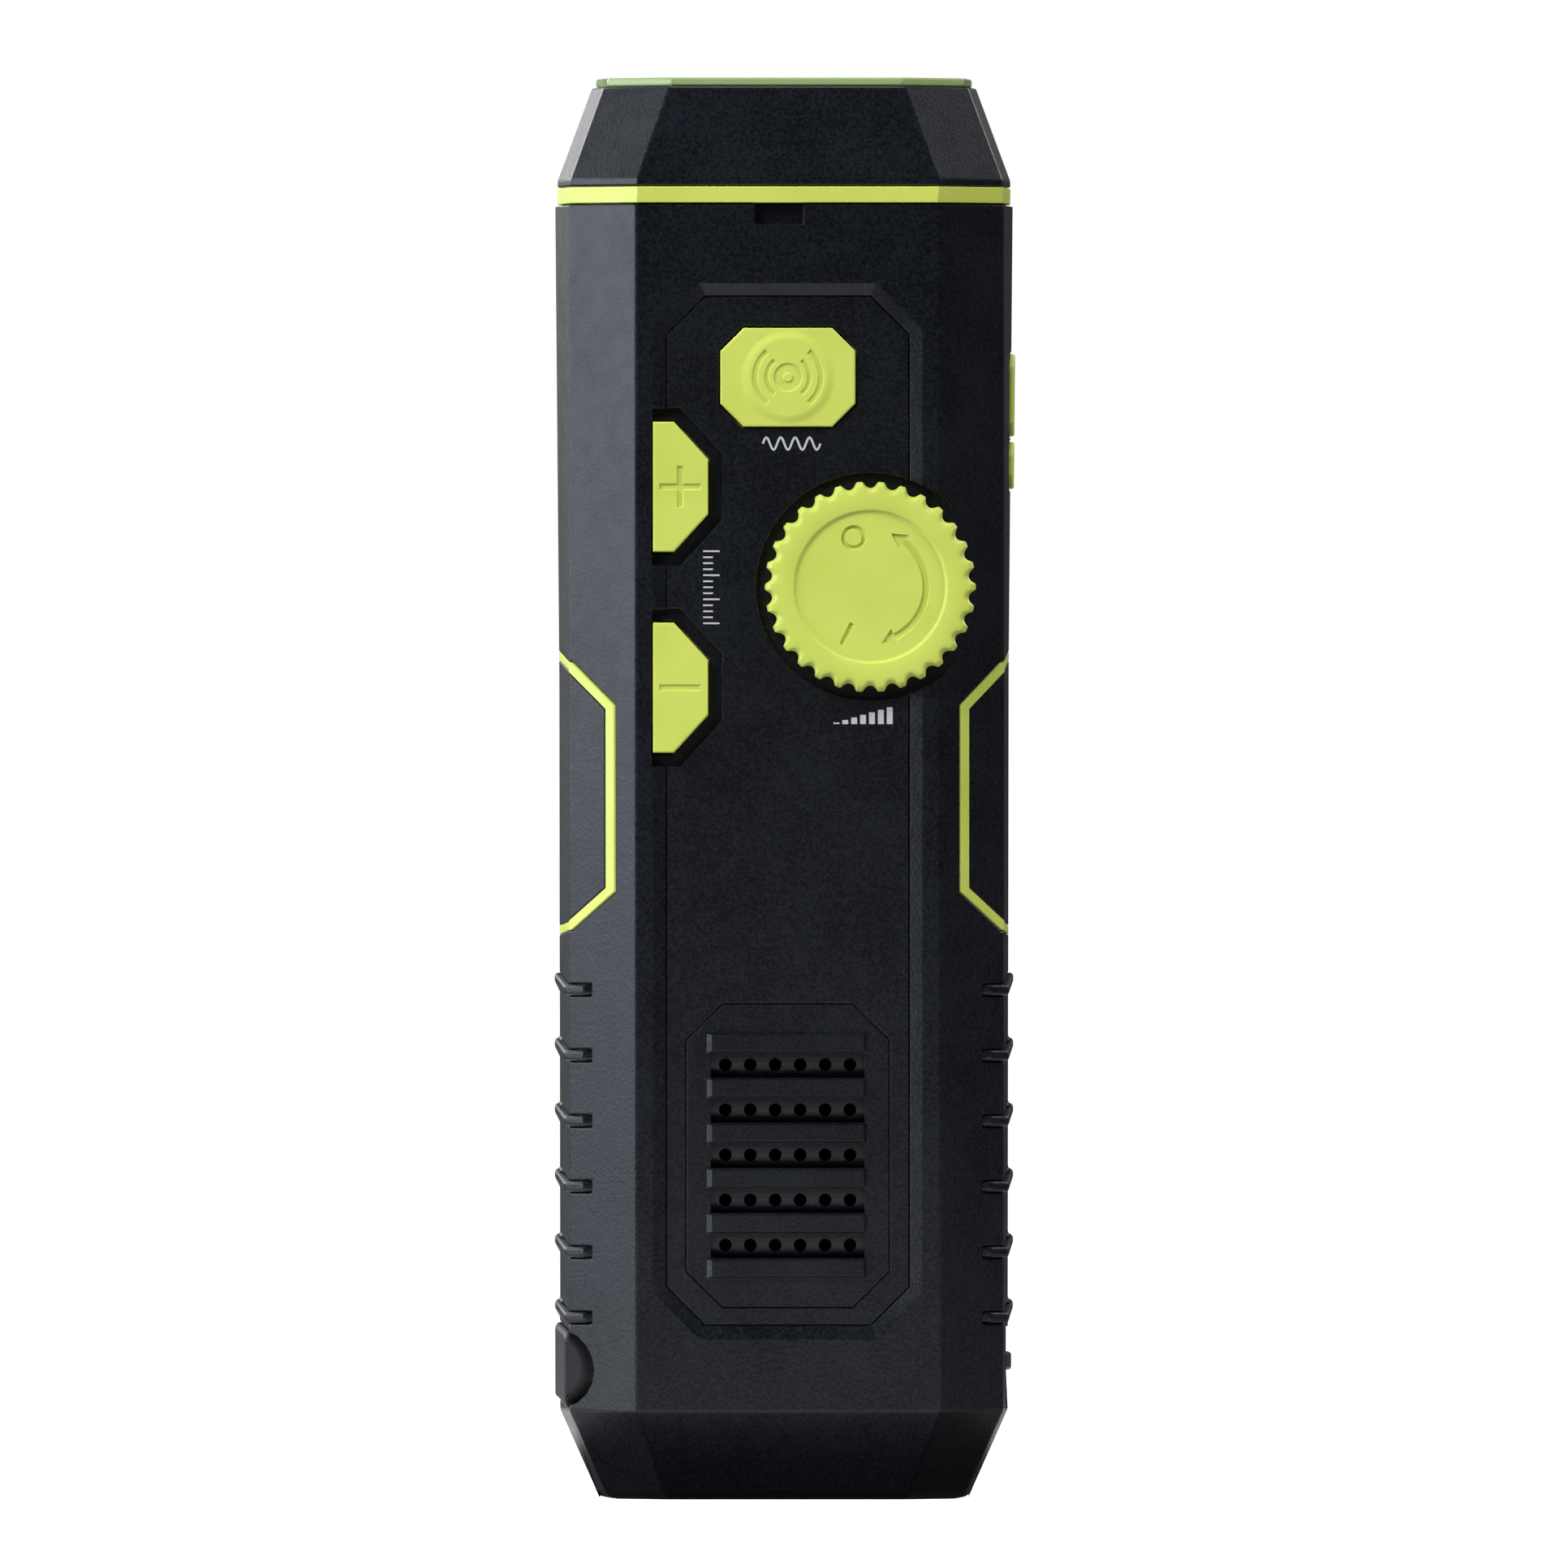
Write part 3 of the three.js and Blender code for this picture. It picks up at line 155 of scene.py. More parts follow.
def clear_green():
    n = Nodes("clear_green")
    n.ramp(n.noise(8.0, 2.0), [(0.3, (0.37, 0.50, 0.22)), (0.7, (0.40, 0.53, 0.235))])
    n.link(n.spread(n.noise(3.0, 3.0), 0.16, 0.22), n.shader.inputs["Roughness"])
    n.set(Transmission_Weight=0.3, IOR=1.49)
    return n.material


DULL = {"Specular_IOR_Level": 0.42}
BLACK = moulded(
    "black_plastic", (0.0026, 0.0033, 0.0052), (0.0088, 0.0107, 0.0148), 0.37, 0.42, 0.034, 0.72, **DULL
)
PANEL_BLACK = moulded(
    "black_panel", (0.0030, 0.0037, 0.0056), (0.0094, 0.0112, 0.0152), 0.39, 0.38, 0.026, 0.72, **DULL
)
LIME = moulded("lime_plastic", (0.565, 0.655, 0.112), (0.610, 0.695, 0.130), 0.38, 0.3, 0.003, 0.2)
RUBBER = moulded(
    "rubber", (0.0055, 0.0055, 0.0065), (0.009, 0.009, 0.0102), 0.55, 0.3, 0.02, Specular_IOR_Level=0.25
)
INK = moulded("white_ink", (0.48, 0.48, 0.49), (0.55, 0.55, 0.56), 0.55, 0.15, 0.004)
NYLON = moulded("nylon", (0.60, 0.58, 0.50), (0.68, 0.66, 0.58), 0.45, 0.4, 0.01)
SWITCH = moulded("switch_plastic", (0.03, 0.033, 0.037), (0.045, 0.048, 0.052), 0.5, 0.3, 0.01)
BOARD = moulded("circuit_board", (0.010, 0.075, 0.025), (0.020, 0.120, 0.042), 0.35, 0.5, 0.01)
CELL = moulded("cell_wrap", (0.015, 0.09, 0.32), (0.02, 0.12, 0.40), 0.3, 0.8, 0.01)
PAPER = moulded("paper_cone", (0.015, 0.014, 0.012), (0.025, 0.023, 0.020), 0.85, 0.2, 0.04)
FERRITE = moulded("ferrite", (0.025, 0.024, 0.023), (0.04, 0.038, 0.036), 0.6, 0.3, 0.03)
LED_BODY = moulded(
    "led_body", (0.80, 0.74, 0.42), (0.88, 0.83, 0.55), 0.15, 0.5, 0.003, 0.3, Coat_Weight=0.6
)
STEEL = metal("steel", (0.40, 0.41, 0.42), (0.52, 0.53, 0.54), 0.30)
BRASS = metal("brass", (0.44, 0.28, 0.08), (0.56, 0.37, 0.12), 0.28)
COPPER = metal("copper", (0.38, 0.13, 0.05), (0.52, 0.20, 0.08), 0.30, (1, 1, 8), 0.02)
MIRROR = metal("mirror_coat", (0.80, 0.81, 0.83), (0.86, 0.87, 0.88), 0.12, depth=0.0005)
OF_SLOT = {
    "black_plastic": BLACK, "lime_plastic": LIME, "rubber": RUBBER, "lens": clear_green(),
    "mirror_coat": MIRROR, "circuit_board": BOARD, "led_body": LED_BODY, "switch_plastic": SWITCH,
    "nylon": NYLON, "steel": STEEL, "brass": BRASS, "paper_cone": PAPER, "cell_wrap": CELL,
    "ferrite": FERRITE, "copper": COPPER, "white_print": INK,
}


# ---------------------------------------------------------------- meshes, in millimetres

def mesh_of(bm, name="shape"):
    bmesh.ops.recalc_face_normals(bm, faces=bm.faces)
    mesh = bpy.data.meshes.new(name)
    bm.to_mesh(mesh)
    bm.free()
    return mesh


def tube(rings, closed=False):
    """A closed surface through rings of points. It joins up with itself, or has a flat face at each end."""
    bm = bmesh.new()
    rows = [[bm.verts.new(p) for p in ring] for ring in rings]
    count = len(rows[0])
    pairs = list(zip(rows, rows[1:])) + ([(rows[-1], rows[0])] if closed else [])
    for a, b in pairs:
        for i in range(count):
            j = (i + 1) % count
            bm.faces.new((a[i], a[j], b[j], b[i]))
    if not closed:
        bm.faces.new(rows[0])
        bm.faces.new(rows[-1])
    return mesh_of(bm)


def prism(outline, y0, y1):
    """The solid over an outline of (x, z) points between y0 and y1."""
    return tube([[(x, y, z) for x, z in outline] for y in (y0, y1)])


def circle(x, z, r, count=64):
    turns = [math.tau * i / count for i in range(count)]
    return [(x + r * math.cos(t), z + r * math.sin(t)) for t in turns]


def annulus(x, z, outer, inner, y0, y1):
    """A flat ring round (x, z)."""
    rings = [(outer, y0), (outer, y1), (inner, y1), (inner, y0)]
    return tube([[(u, y, v) for u, v in circle(x, z, r)] for r, y in rings], closed=True)


def rectangle(x, z, half_x, half_z):
    left, right, low, high = x - half_x, x + half_x, z - half_z, z + half_z
    return [(left, low), (right, low), (right, high), (left, high)]


def octagon(x, z, half_x, half_z, cut):
    corners = ((1, -1), (1, 1), (-1, 1), (-1, -1))
    points = []
    for sx, sz in corners:
        along = (x + sx * (half_x - cut), z + sz * half_z)
        upright = (x + sx * half_x, z + sz * (half_z - cut))
        points += [along, upright] if sx * sz < 0 else [upright, along]
    return points


def arc_points(x, z, r, start, end, steps):
    angles = [math.radians(start + (end - start) * i / steps) for i in range(steps + 1)]
    return [(x + r * math.cos(a), z + r * math.sin(a)) for a in angles]


def point_at(x, z, r, angle):
    """The point at this radius and angle round (x, z)."""
    return arc_points(x, z, r, angle, angle, 1)[0]


def band(x, z, r0, r1, start, end, steps=16):
    """An arc-shaped stroke between two radii."""
    return arc_points(x, z, r1, start, end, steps) + arc_points(x, z, r0, end, start, steps)


def shaped(mesh, add=(), cut=()):
    """A mesh with others joined to it or cut out of it."""
    body = bpy.data.objects.new("body", mesh)
    scene.collection.objects.link(body)
    tools = []
    for operation, shapes in (("UNION", add), ("DIFFERENCE", cut)):
        for shape in shapes:
            tool = bpy.data.objects.new("tool", shape)
            scene.collection.objects.link(tool)
            tools.append(tool)
            boolean = body.modifiers.new("boolean", "BOOLEAN")
            boolean.operation, boolean.object, boolean.solver = operation, tool, "EXACT"
    done = bpy.data.meshes.new_from_object(body.evaluated_get(bpy.context.evaluated_depsgraph_get()))
    for thing in (body, *tools):
        old = thing.data
        bpy.data.objects.remove(thing)
        bpy.data.meshes.remove(old)
    return done


def from_cad(node):
    """A copy of a CAD node's mesh, with its flat faces whole again."""
    bm = bmesh.new()
    bm.from_mesh(nodes[node].data)
    bmesh.ops.scale(bm, vec=(1000, 1000, 1000), verts=bm.verts)
    bmesh.ops.remove_doubles(bm, verts=bm.verts, dist=0.0005)
    bmesh.ops.dissolve_limit(bm, angle_limit=math.radians(0.6), verts=bm.verts, edges=bm.edges)
    mesh = bpy.data.meshes.new(node + "_copy")
    bm.to_mesh(mesh)
    bm.free()
    return mesh


def middle(node):
    """The middle of a CAD node's box."""
    low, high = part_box(node)
    return (Vector(low) + Vector(high)) * 500


# ---------------------------------------------------------------- pieces

SHARP = math.radians(19)  # a corner sharper than this is an edge of the shape, and not a step of a curve
WIDEST = 1.5  # mm, the bevel of an edge whose weight is 1


def piece(name, mesh, body, slot, stands_for=(), material=None, width=0.0, segments=2):
    """A visible piece from a mesh. width is the bevel of its edges, or gives it from an edge's middle."""
    bm = bmesh.new()
    bm.from_mesh(mesh)
    weight = bm.edges.layers.float.new("bevel_weight_edge")
    for edge in bm.edges:
        if len(edge.link_faces) == 2 and edge.calc_face_angle(0) > SHARP:
            at = (edge.verts[0].co + edge.verts[1].co) / 2
            edge[weight] = (width(at) if callable(width) else width) / WIDEST
    bm.to_mesh(mesh)
    bm.free()
    mesh.transform(Matrix.Scale(MM, 4))
    mesh.materials.clear()
    mesh.materials.append(material or OF_SLOT[slot])
    mesh.polygons.foreach_set("use_smooth", [True] * len(mesh.polygons))
    mesh.set_sharp_from_angle(angle=SHARP)
    made = bpy.data.objects.new(name, mesh)
    scene.collection.objects.link(made)
    bevel = made.modifiers.new("edges", "BEVEL")
    bevel.width, bevel.segments = WIDEST * MM, segments
    bevel.limit_method = "WEIGHT"
    bevel.use_clamp_overlap = False
    normals = made.modifiers.new("normals", "WEIGHTED_NORMAL")
    normals.keep_sharp = True
    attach(made, body)
    if stands_for:
        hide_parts(*stands_for)
    return made


def finished(node, width, mesh=None, **more):
    """The finished surface of a CAD node, from its own mesh or from a better one."""
    mesh = mesh or from_cad(node)
    return piece(node + "_finish", mesh, bodies[node], slots[node], (node,), width=width, **more)


# ---------------------------------------------------------------- casing

PART_Y = 0.2  # edges this near the parting plane only get a trace of a bevel
FOOT_TOP, BODY_TOP = 10.8, 157.4
RECESS_Y = -20.9  # the recess and all that lies in it is in front of this
POCKET_Y = 14.3  # the crank pocket is behind this
SIDE_X = 26.2  # the sides are outside this
FACE_Y = 23.0  # the front and back faces, in front of and behind the parting plane
CHAMFER_Y = 14.9  # where the side meets the corner facet
FACET_X, FACET_FULL = 18, 18.3  # the corner facets are outside the first, their full bevels the second
POCKETS_X, POCKETS_TOP = 20.1, 24  # the port and the strap slot are outside the first, below the second
TRACE, FINE, BODY_EDGE, FOOT_EDGE = 0.06, 0.1, 0.26, 1.15  # bevels


def shell_edge(at):
    """The bevel of a shell's edge, none where the edge is inside the casing."""
    if abs(at.y) < PART_Y:
        return TRACE if abs(at.x) > 20 or at.z < 0.5 else 0
    if at.z < 0.1:
        return FOOT_EDGE
    if at.z > BODY_TOP - 2.6:
        return FINE
    if at.z < FOOT_TOP + 0.1:
        return BODY_EDGE if abs(at.x) > 14 or abs(at.y) > 17 else 0
    on_facet = abs(at.y) > CHAMFER_Y
    on_front, on_back = abs(at.y + FACE_Y) < 0.05, at.y > FACE_Y - 0.05
    if abs(at.x) > SIDE_X or on_front or on_back or on_facet and abs(at.x) > FACET_X:
        return BODY_EDGE if on_facet and abs(at.x) > FACET_FULL else FINE
    if at.y < RECESS_Y or at.y > POCKET_Y or abs(at.x) > POCKETS_X and at.z < POCKETS_TOP:
        return FINE
    return 0


finished("front_shell", shell_edge)
finished("rear_shell", shell_edge)
finished("control_panel", 0.12, material=PANEL_BLACK)
for side in ("left", "right"):
    finished("side_trim_" + side, 0.08)
    finished("side_pad_" + side, 0.12)
    finished("grip_" + side, 0.4, segments=3)
finished("port_cover", 0.55, segments=3)
finished("port_cover_anchor", 0.3)
finished("strap_bar", 0.35, segments=3)
for number in (1, 2, 3, 4):
    finished(f"rear_screw_{number}", 0.15)

# ---------------------------------------------------------------- head

HEAD_SEAT = 159  # below this is the bezel's spigot, hidden inside the ring and the casing


def head_edge(at):
    return 0.2 if at.z > HEAD_SEAT else 0


finished("accent_ring", 0.12)
finished("head_bezel", head_edge)
finished("head_lens", 0.25)
for node in ("lens_gasket", "reflector", "torch_led"):
    finished(node, 0.05)

# ---------------------------------------------------------------- speaker grille

GRILLE = {"half": 12.3, "low": 23.45, "high": 60.25, "corner": 4.4, "face": -22.35, "back": -21.45}
SLAT_PITCH = 5.48
SLOT = {"half": 9.35, "tall": 3.0, "top": -21.5, "deep": -20.2}
HOLE_PITCH, HOLE_R = 3.03, 0.78
BARS, HOLES = 6, 6  # bars on the insert, and holes in each slot between them
BAR_FOOT, BAR_TOP = (9.9, 1.22), (9.2, 1.0)  # half width and half height
BAR_SHIFT, BAR_SUNK, BAR_PROUD = -0.2, 0.13, 0.45
CORE = {"half": 10.3, "margin": 3.2, "back": -19.8}  # the thicker middle that the slots are cut in


def prism_x(outline, x0, x1):
    """The solid over an outline of (y, z) points between x0 and x1."""
    return tube([[(x, y, z) for y, z in outline] for x in (x0, x1)])


def together(meshes):
    """One mesh out of several that lie apart."""
    bm = bmesh.new()
    for mesh in meshes:
        bm.from_mesh(mesh)
        bpy.data.meshes.remove(mesh)
    return mesh_of(bm)


def sliced(mesh, planes):
    """A mesh with its faces divided along planes, given as (axis, place), so that no face gets a hole."""
    bm = bmesh.new()
    bm.from_mesh(mesh)
    for axis, place in planes:
        normal = Vector([float(i == axis) for i in range(3)])
        everything = bm.verts[:] + bm.edges[:] + bm.faces[:]
        bmesh.ops.bisect_plane(bm, geom=everything, plane_co=normal * place, plane_no=normal)
    bm.to_mesh(mesh)
    bm.free()
    return mesh


def slot_floor(z):
    """The section of a slot, whose floor curves away from the front as it goes down."""
    high, low = z + SLOT["tall"] / 2, z - SLOT["tall"] / 2
    curve = []
    for i in range(9):
        turn = math.radians(90 * i / 8)
        depth = SLOT["top"] + (SLOT["deep"] - SLOT["top"]) * (1 - math.cos(turn))
        curve.append((depth, high - SLOT["tall"] * math.sin(turn)))
    return [(-30, low), (-30, high)] + curve


def grille_edge(at):
    """The bevel of the insert's outline, of its bars and slots, and none behind them."""
    if at.y > SLOT["top"]:
        return 0
    return 0.12 if abs(at.x) > 10.5 or at.z < 27 or at.z > 57.5 else 0.06


def grille_bar(z):
    """A bar with sloping ends and sides."""
    foot = rectangle(BAR_SHIFT, z, *BAR_FOOT)
    top = rectangle(0, z, *BAR_TOP)
    levels = ((foot, GRILLE["face"] + BAR_SUNK), (top, GRILLE["face"] - BAR_PROUD))
    return tube([[(x, y, v) for x, v in outline] for outline, y in levels])


def speaker_grille():
    centre = (GRILLE["low"] + GRILLE["high"]) / 2
    half_tall = (GRILLE["high"] - GRILLE["low"]) / 2
    outline = octagon(0, centre, GRILLE["half"], half_tall, GRILLE["corner"])
    plate = prism(outline, GRILLE["face"], GRILLE["back"])
    middle_part = rectangle(0, centre, CORE["half"], half_tall - CORE["margin"])
    core = prism(middle_part, GRILLE["back"] - 0.05, CORE["back"])
    half_slot = SLOT["tall"] / 2
    edges = [centre + i * SLAT_PITCH + side * half_slot for i in (-2, -1, 0, 1, 2) for side in (-1, 1)]
    planes = [(0, -SLOT["half"]), (0, SLOT["half"]), (0, 0)] + [(2, z) for z in edges]
    plate, core = sliced(plate, planes), sliced(core, planes)
    bars, slots_cut, holes = [], [], []
    for i in range(BARS):
        z = centre + ((BARS - 1) / 2 - i) * SLAT_PITCH
        bars.append(grille_bar(z))
        if i < BARS - 1:
            slot = z - SLAT_PITCH / 2
            slots_cut.append(prism_x(slot_floor(slot), -SLOT["half"], SLOT["half"]))
            for hole in range(HOLES):
                x = (hole - (HOLES - 1) / 2) * HOLE_PITCH
                holes.append(prism(circle(x, slot + 0.1, HOLE_R, 24), -24, -15))
    body = shaped(plate, add=(core, together(bars)))
    return shaped(body, cut=(together(slots_cut), together(holes)))


finished("speaker_grille", grille_edge, speaker_grille(), material=PANEL_BLACK)

# ---------------------------------------------------------------- keys

SIREN = {"half": 8.2, "tall": 6.0, "corner": 2.8, "face": -22.95, "stop": -19.4, "foot": 5.8, "flat": 4.6}
PROUD = 0.25  # height of the round boss on the siren key
SIREN_STROKES = ((2.35, 2.85), (3.7, 4.35))  # inner and outer radius of each arc
SIREN_SWEEP = 51  # degrees each way from level
SIREN_RING = (1.7, 0.55)
MARK_DEEP = 0.2
KEY_BACK = -18.6
FLANGE = 1.1


def boss(x, z, r, flat, face, height, steps=8):
    """A low round boss on a face towards -Y, with a soft wall between the radii r and flat."""
    rings = [circle(x, z, r)]
    levels = [face + 0.5]
    for i in range(steps + 1):
        share = i / steps
        rings.append(circle(x, z, r + (flat - r) * share))
        levels.append(face - height * share * share * (3 - 2 * share) + 0.001)
    return tube([[(u, y, v) for u, v in ring] for ring, y in zip(rings, levels)])


def siren_key():
    at = middle("siren_button")
    x, z = at.x, at.z
    key = prism(octagon(x, z, SIREN["half"], SIREN["tall"], SIREN["corner"]), SIREN["face"], SIREN["stop"])
    wide = octagon(x, z, SIREN["half"] + FLANGE, SIREN["tall"] + FLANGE, SIREN["corner"])
    flange = prism(wide, SIREN["stop"] - 0.05, KEY_BACK)
    top = SIREN["face"] - PROUD
    grooves = []
    for side in (0, 180):
        for r0, r1 in SIREN_STROKES:
            stroke = band(x, z, r0, r1, side - SIREN_SWEEP, side + SIREN_SWEEP)
            grooves.append(prism(stroke, top - 1, top + MARK_DEEP))
    grooves.append(annulus(x, z, *SIREN_RING, top - 1, top + MARK_DEEP))
    round_part = boss(x, z, SIREN["foot"], SIREN["flat"], SIREN["face"], PROUD)
    return shaped(shaped(key, add=(flange, round_part)), cut=(together(grooves),))


TUNING_KEYS = ("tuning_up_button", "tuning_down_button")
TUNING = {"face": -23.05, "stroke": 0.35, "arm": 2.5, "sunk": 0.22, "mark_x": -13.1}


def tuning_key(node, upright):
    """A tuning key with a minus sunk in its face, or a plus if it has the upright stroke too."""
    z = middle(node).z
    x, s, a = TUNING["mark_x"], TUNING["stroke"], TUNING["arm"]
    mark = rectangle(x, z, a, s)
    if upright:
        mark = [
            (x - a, z - s), (x - s, z - s), (x - s, z - a), (x + s, z - a), (x + s, z - s), (x + a, z - s),
            (x + a, z + s), (x + s, z + s), (x + s, z + a), (x - s, z + a), (x - s, z + s), (x - a, z + s),
        ]
    return shaped(from_cad(node), cut=(prism(mark, TUNING["face"] - 1, TUNING["face"] + TUNING["sunk"]),))


def siren_edge(at):
    """The bevel of the siren key's edges: its outline is rounder than the marks in its face."""
    centre = middle("siren_button")
    if at.y > SIREN["face"] + 1:
        return 0.03
    return 0.22 if math.hypot(at.x - centre.x, at.z - centre.z) > SIREN["foot"] + 0.1 else 0.09


def tuning_edge(at):
    """The bevel of a tuning key's edges, finer round the mark in its face."""
    if at.y > TUNING["face"] + 1:
        return 0.03
    reach = TUNING["arm"] + 0.05
    from_mark = min(abs(at.z - middle(node).z) for node in TUNING_KEYS)
    on_mark = abs(at.x - TUNING["mark_x"]) < reach and from_mark < reach
    return 0.1 if on_mark and at.y > TUNING["face"] - 0.02 else 0.22


finished("siren_button", siren_edge, siren_key(), segments=3)
for node in TUNING_KEYS:
    finished(node, tuning_edge, tuning_key(node, node == "tuning_up_button"), segments=3)
finished("torch_button", 0.25, segments=3)
finished("flash_button", 0.25, segments=3)

# ---------------------------------------------------------------- volume knob

KNOB = {
    "tip": 12.8, "valley": 12.0, "teeth": 30, "top": -25.2, "bottom": -21.7, "bore": 3.06, "bore_end": -23.8,
}
DISH_R, DISH_DEEP = 9.2, 0.4
SAMPLES = 16  # points round each tooth
SCALLOP = 0.68  # share of the pitch that a scallop takes


def knob_ring(y, r, serrated):
    """One ring of the knob, with its full scallops where serrated is 1 and none where it is 0."""
    at = middle("volume_knob")
    ring = []
    for i in range(KNOB["teeth"] * SAMPLES):
        turn = math.tau * i / (KNOB["teeth"] * SAMPLES)
        across = abs(((i / SAMPLES) % 1) - 0.5) * 2  # 1 on a tooth, 0 in the middle of a scallop
        scallop = (KNOB["tip"] - KNOB["valley"]) * max(0.0, 1 - (across / SCALLOP) ** 2) ** 0.7
        radius = r - serrated * scallop
        ring.append((at.x + radius * math.cos(turn), y, at.z + radius * math.sin(turn)))
    return ring


def volume_knob():
    """The knob as rings from its bore out over the rounded rim and into the dish."""
    top, tip = KNOB["top"], KNOB["tip"]
    floor = top + DISH_DEEP
    rings = [(KNOB["bore_end"], KNOB["bore"], 0), (KNOB["bottom"], KNOB["bore"], 0)]
    rings += [(KNOB["bottom"], tip - 0.35, 1), (KNOB["bottom"] - 0.3, tip, 1)]
    rings += [(top + 0.95, tip, 1), (top + 0.6, tip - 0.1, 1)]
    rings += [(top + 0.33, tip - 0.32, 0.95), (top + 0.14, tip - 0.62, 0.8), (top + 0.04, tip - 1.05, 0.5)]
    rings += [(top + 0.01, tip - 1.5, 0.2), (top, tip - 2.1, 0), (top, DISH_R + 0.35, 0)]
    rings += [(top + 0.05, DISH_R + 0.14, 0), (top + 0.2, DISH_R, 0), (floor - 0.06, DISH_R - 0.1, 0)]
    rings += [(floor, DISH_R - 0.3, 0)]
    return tube([knob_ring(*ring) for ring in rings])


ARROW = (6.75, 0.42, 1.05)  # radius, half the stroke, half of a head's width
ARROW_TURNS = (-79, 68.5, 15)  # degrees: first tip, last tip, length of a head
OFF_R, OFF_ANGLE, OFF_RING = 6.3, 109, (1.5, 0.98)
ON_R, ON_ANGLE, ON_STROKE = 6.4, -117, (1.45, 0.27)


def arrow_outline(x, z):
    """A curved arrow with a head at each end."""
    r, half, wide = ARROW
    start, end, head = ARROW_TURNS
    shaft0, shaft1 = start + head, end - head
    outer = arc_points(x, z, r + half, shaft0, shaft1, 28)
    inner = arc_points(x, z, r - half, shaft1, shaft0, 28)
    tip = r + 0.2
    top_head = [(r + wide, shaft1), (tip, end), (r - wide, shaft1)]
    low_head = [(r - wide, shaft0), (tip, start), (r + wide, shaft0)]
    top_points = [point_at(x, z, *spot) for spot in top_head]
    low_points = [point_at(x, z, *spot) for spot in low_head]
    return outer + top_points + inner + low_points


def engraved_knob():
    """The knob with its arrow and its off and on signs, a ring and a bar, sunk in the dish."""
    at = middle("volume_knob")
    floor = KNOB["top"] + DISH_DEEP
    y0, y1 = floor - 2, floor + 0.3
    off = point_at(at.x, at.z, OFF_R, OFF_ANGLE)
    on = Vector(point_at(at.x, at.z, ON_R, ON_ANGLE))
    away = Vector((math.cos(math.radians(ON_ANGLE)), math.sin(math.radians(ON_ANGLE))))
    across = Vector((-away.y, away.x))
    corners = [on + away * a + across * b for a, b in rectangle(0, 0, *ON_STROKE)]
    marks = [
        prism(arrow_outline(at.x, at.z), y0, y1),
        annulus(*off, *OFF_RING, y0, y1),
        prism([tuple(c) for c in corners], y0, y1),
    ]
    return shaped(volume_knob(), cut=(together(marks),))


finished("volume_knob", 0.05, engraved_knob())

# ---------------------------------------------------------------- printed marks, none of them lettering

PANEL_FACE = -22.3
INK_THICK = 0.03


def printed(name, outlines):
    marks = [prism(outline, PANEL_FACE - INK_THICK, PANEL_FACE + 0.02) for outline in outlines]
    return piece(name, together(marks), "housing", "white_print")


def wave(x, z, half, height, turns, stroke):
    """A sine wave drawn as one stroke."""
    top, bottom = [], []
    for i in range(turns * 16 + 1):
        share = i / (turns * 16)
        u = x - half + 2 * half * share
        v = z + height * math.sin(math.tau * turns * share)
        slope = height * math.tau * turns / (2 * half) * math.cos(math.tau * turns * share)
        length = math.hypot(1, slope)
        top.append((u - slope / length * stroke, v + stroke / length))
        bottom.append((u + slope / length * stroke, v - stroke / length))
    return top + bottom[::-1]


def rising_bars(x, z, pitch, half_wide, step, count):
    """Upright bars on one line, each taller than the last."""
    halves = [step * (i + 0.6) for i in range(count)]
    return [rectangle(x + i * pitch, z + half, half_wide, half) for i, half in enumerate(halves)]


def tick_scale(x_long, z, pitch, count, half_long=1.0, half_short=0.6, half_thick=0.1):
    """Level ticks with their left ends in line, every fourth one long."""
    ticks = []
    for i in range(count):
        half, x = (half_long, x_long) if i % 4 == 0 else (half_short, x_long - (half_long - half_short))
        ticks.append(rectangle(x, z + (i - count // 2) * pitch, half, half_thick))
    return ticks


WAVE = {"x": 0.45, "z": 128.35, "half": 3.5, "height": 0.75, "turns": 4, "stroke": 0.13}
VOLUME_BARS = {"x": 5.9, "z": 94.28, "pitch": 1.08, "half_wide": 0.36, "step": 0.155, "count": 7}
TUNING_TICKS = {"x_long": -9.3, "z": 110.9, "pitch": 0.73, "count": 13}
printed("mark_siren", [wave(**WAVE)])
printed("mark_volume", rising_bars(**VOLUME_BARS))
printed("mark_tuning", tick_scale(**TUNING_TICKS))

# ---------------------------------------------------------------- crank and what shows behind the port cover

ARM_FACE, ARM_END = 22, 69  # the arm's outer face is behind the first, and its end below the second


def crank_edge(at):
    return 0.5 if at.y > ARM_FACE or at.z < ARM_END else 0.15


finished("crank_arm", crank_edge, segments=3)
finished("crank_knob", 0.6, segments=3)
for node in ("crank_screw", "knob_hinge_pin", "knob_bracket", "crank_bush", "crank_shaft"):
    finished(node, 0.12)
finished("usb_socket", 0.05)

for name, node in nodes.items():
    node.data.materials.clear()
    node.data.materials.append(OF_SLOT[slots[name]])

# ---------------------------------------------------------------- studio

STUDIO_R, STUDIO_BEND, STUDIO_TALL = 8.0, 2.0, 8.0  # metres
STUDIO_SIDES, BEND_STEPS = 96, 8


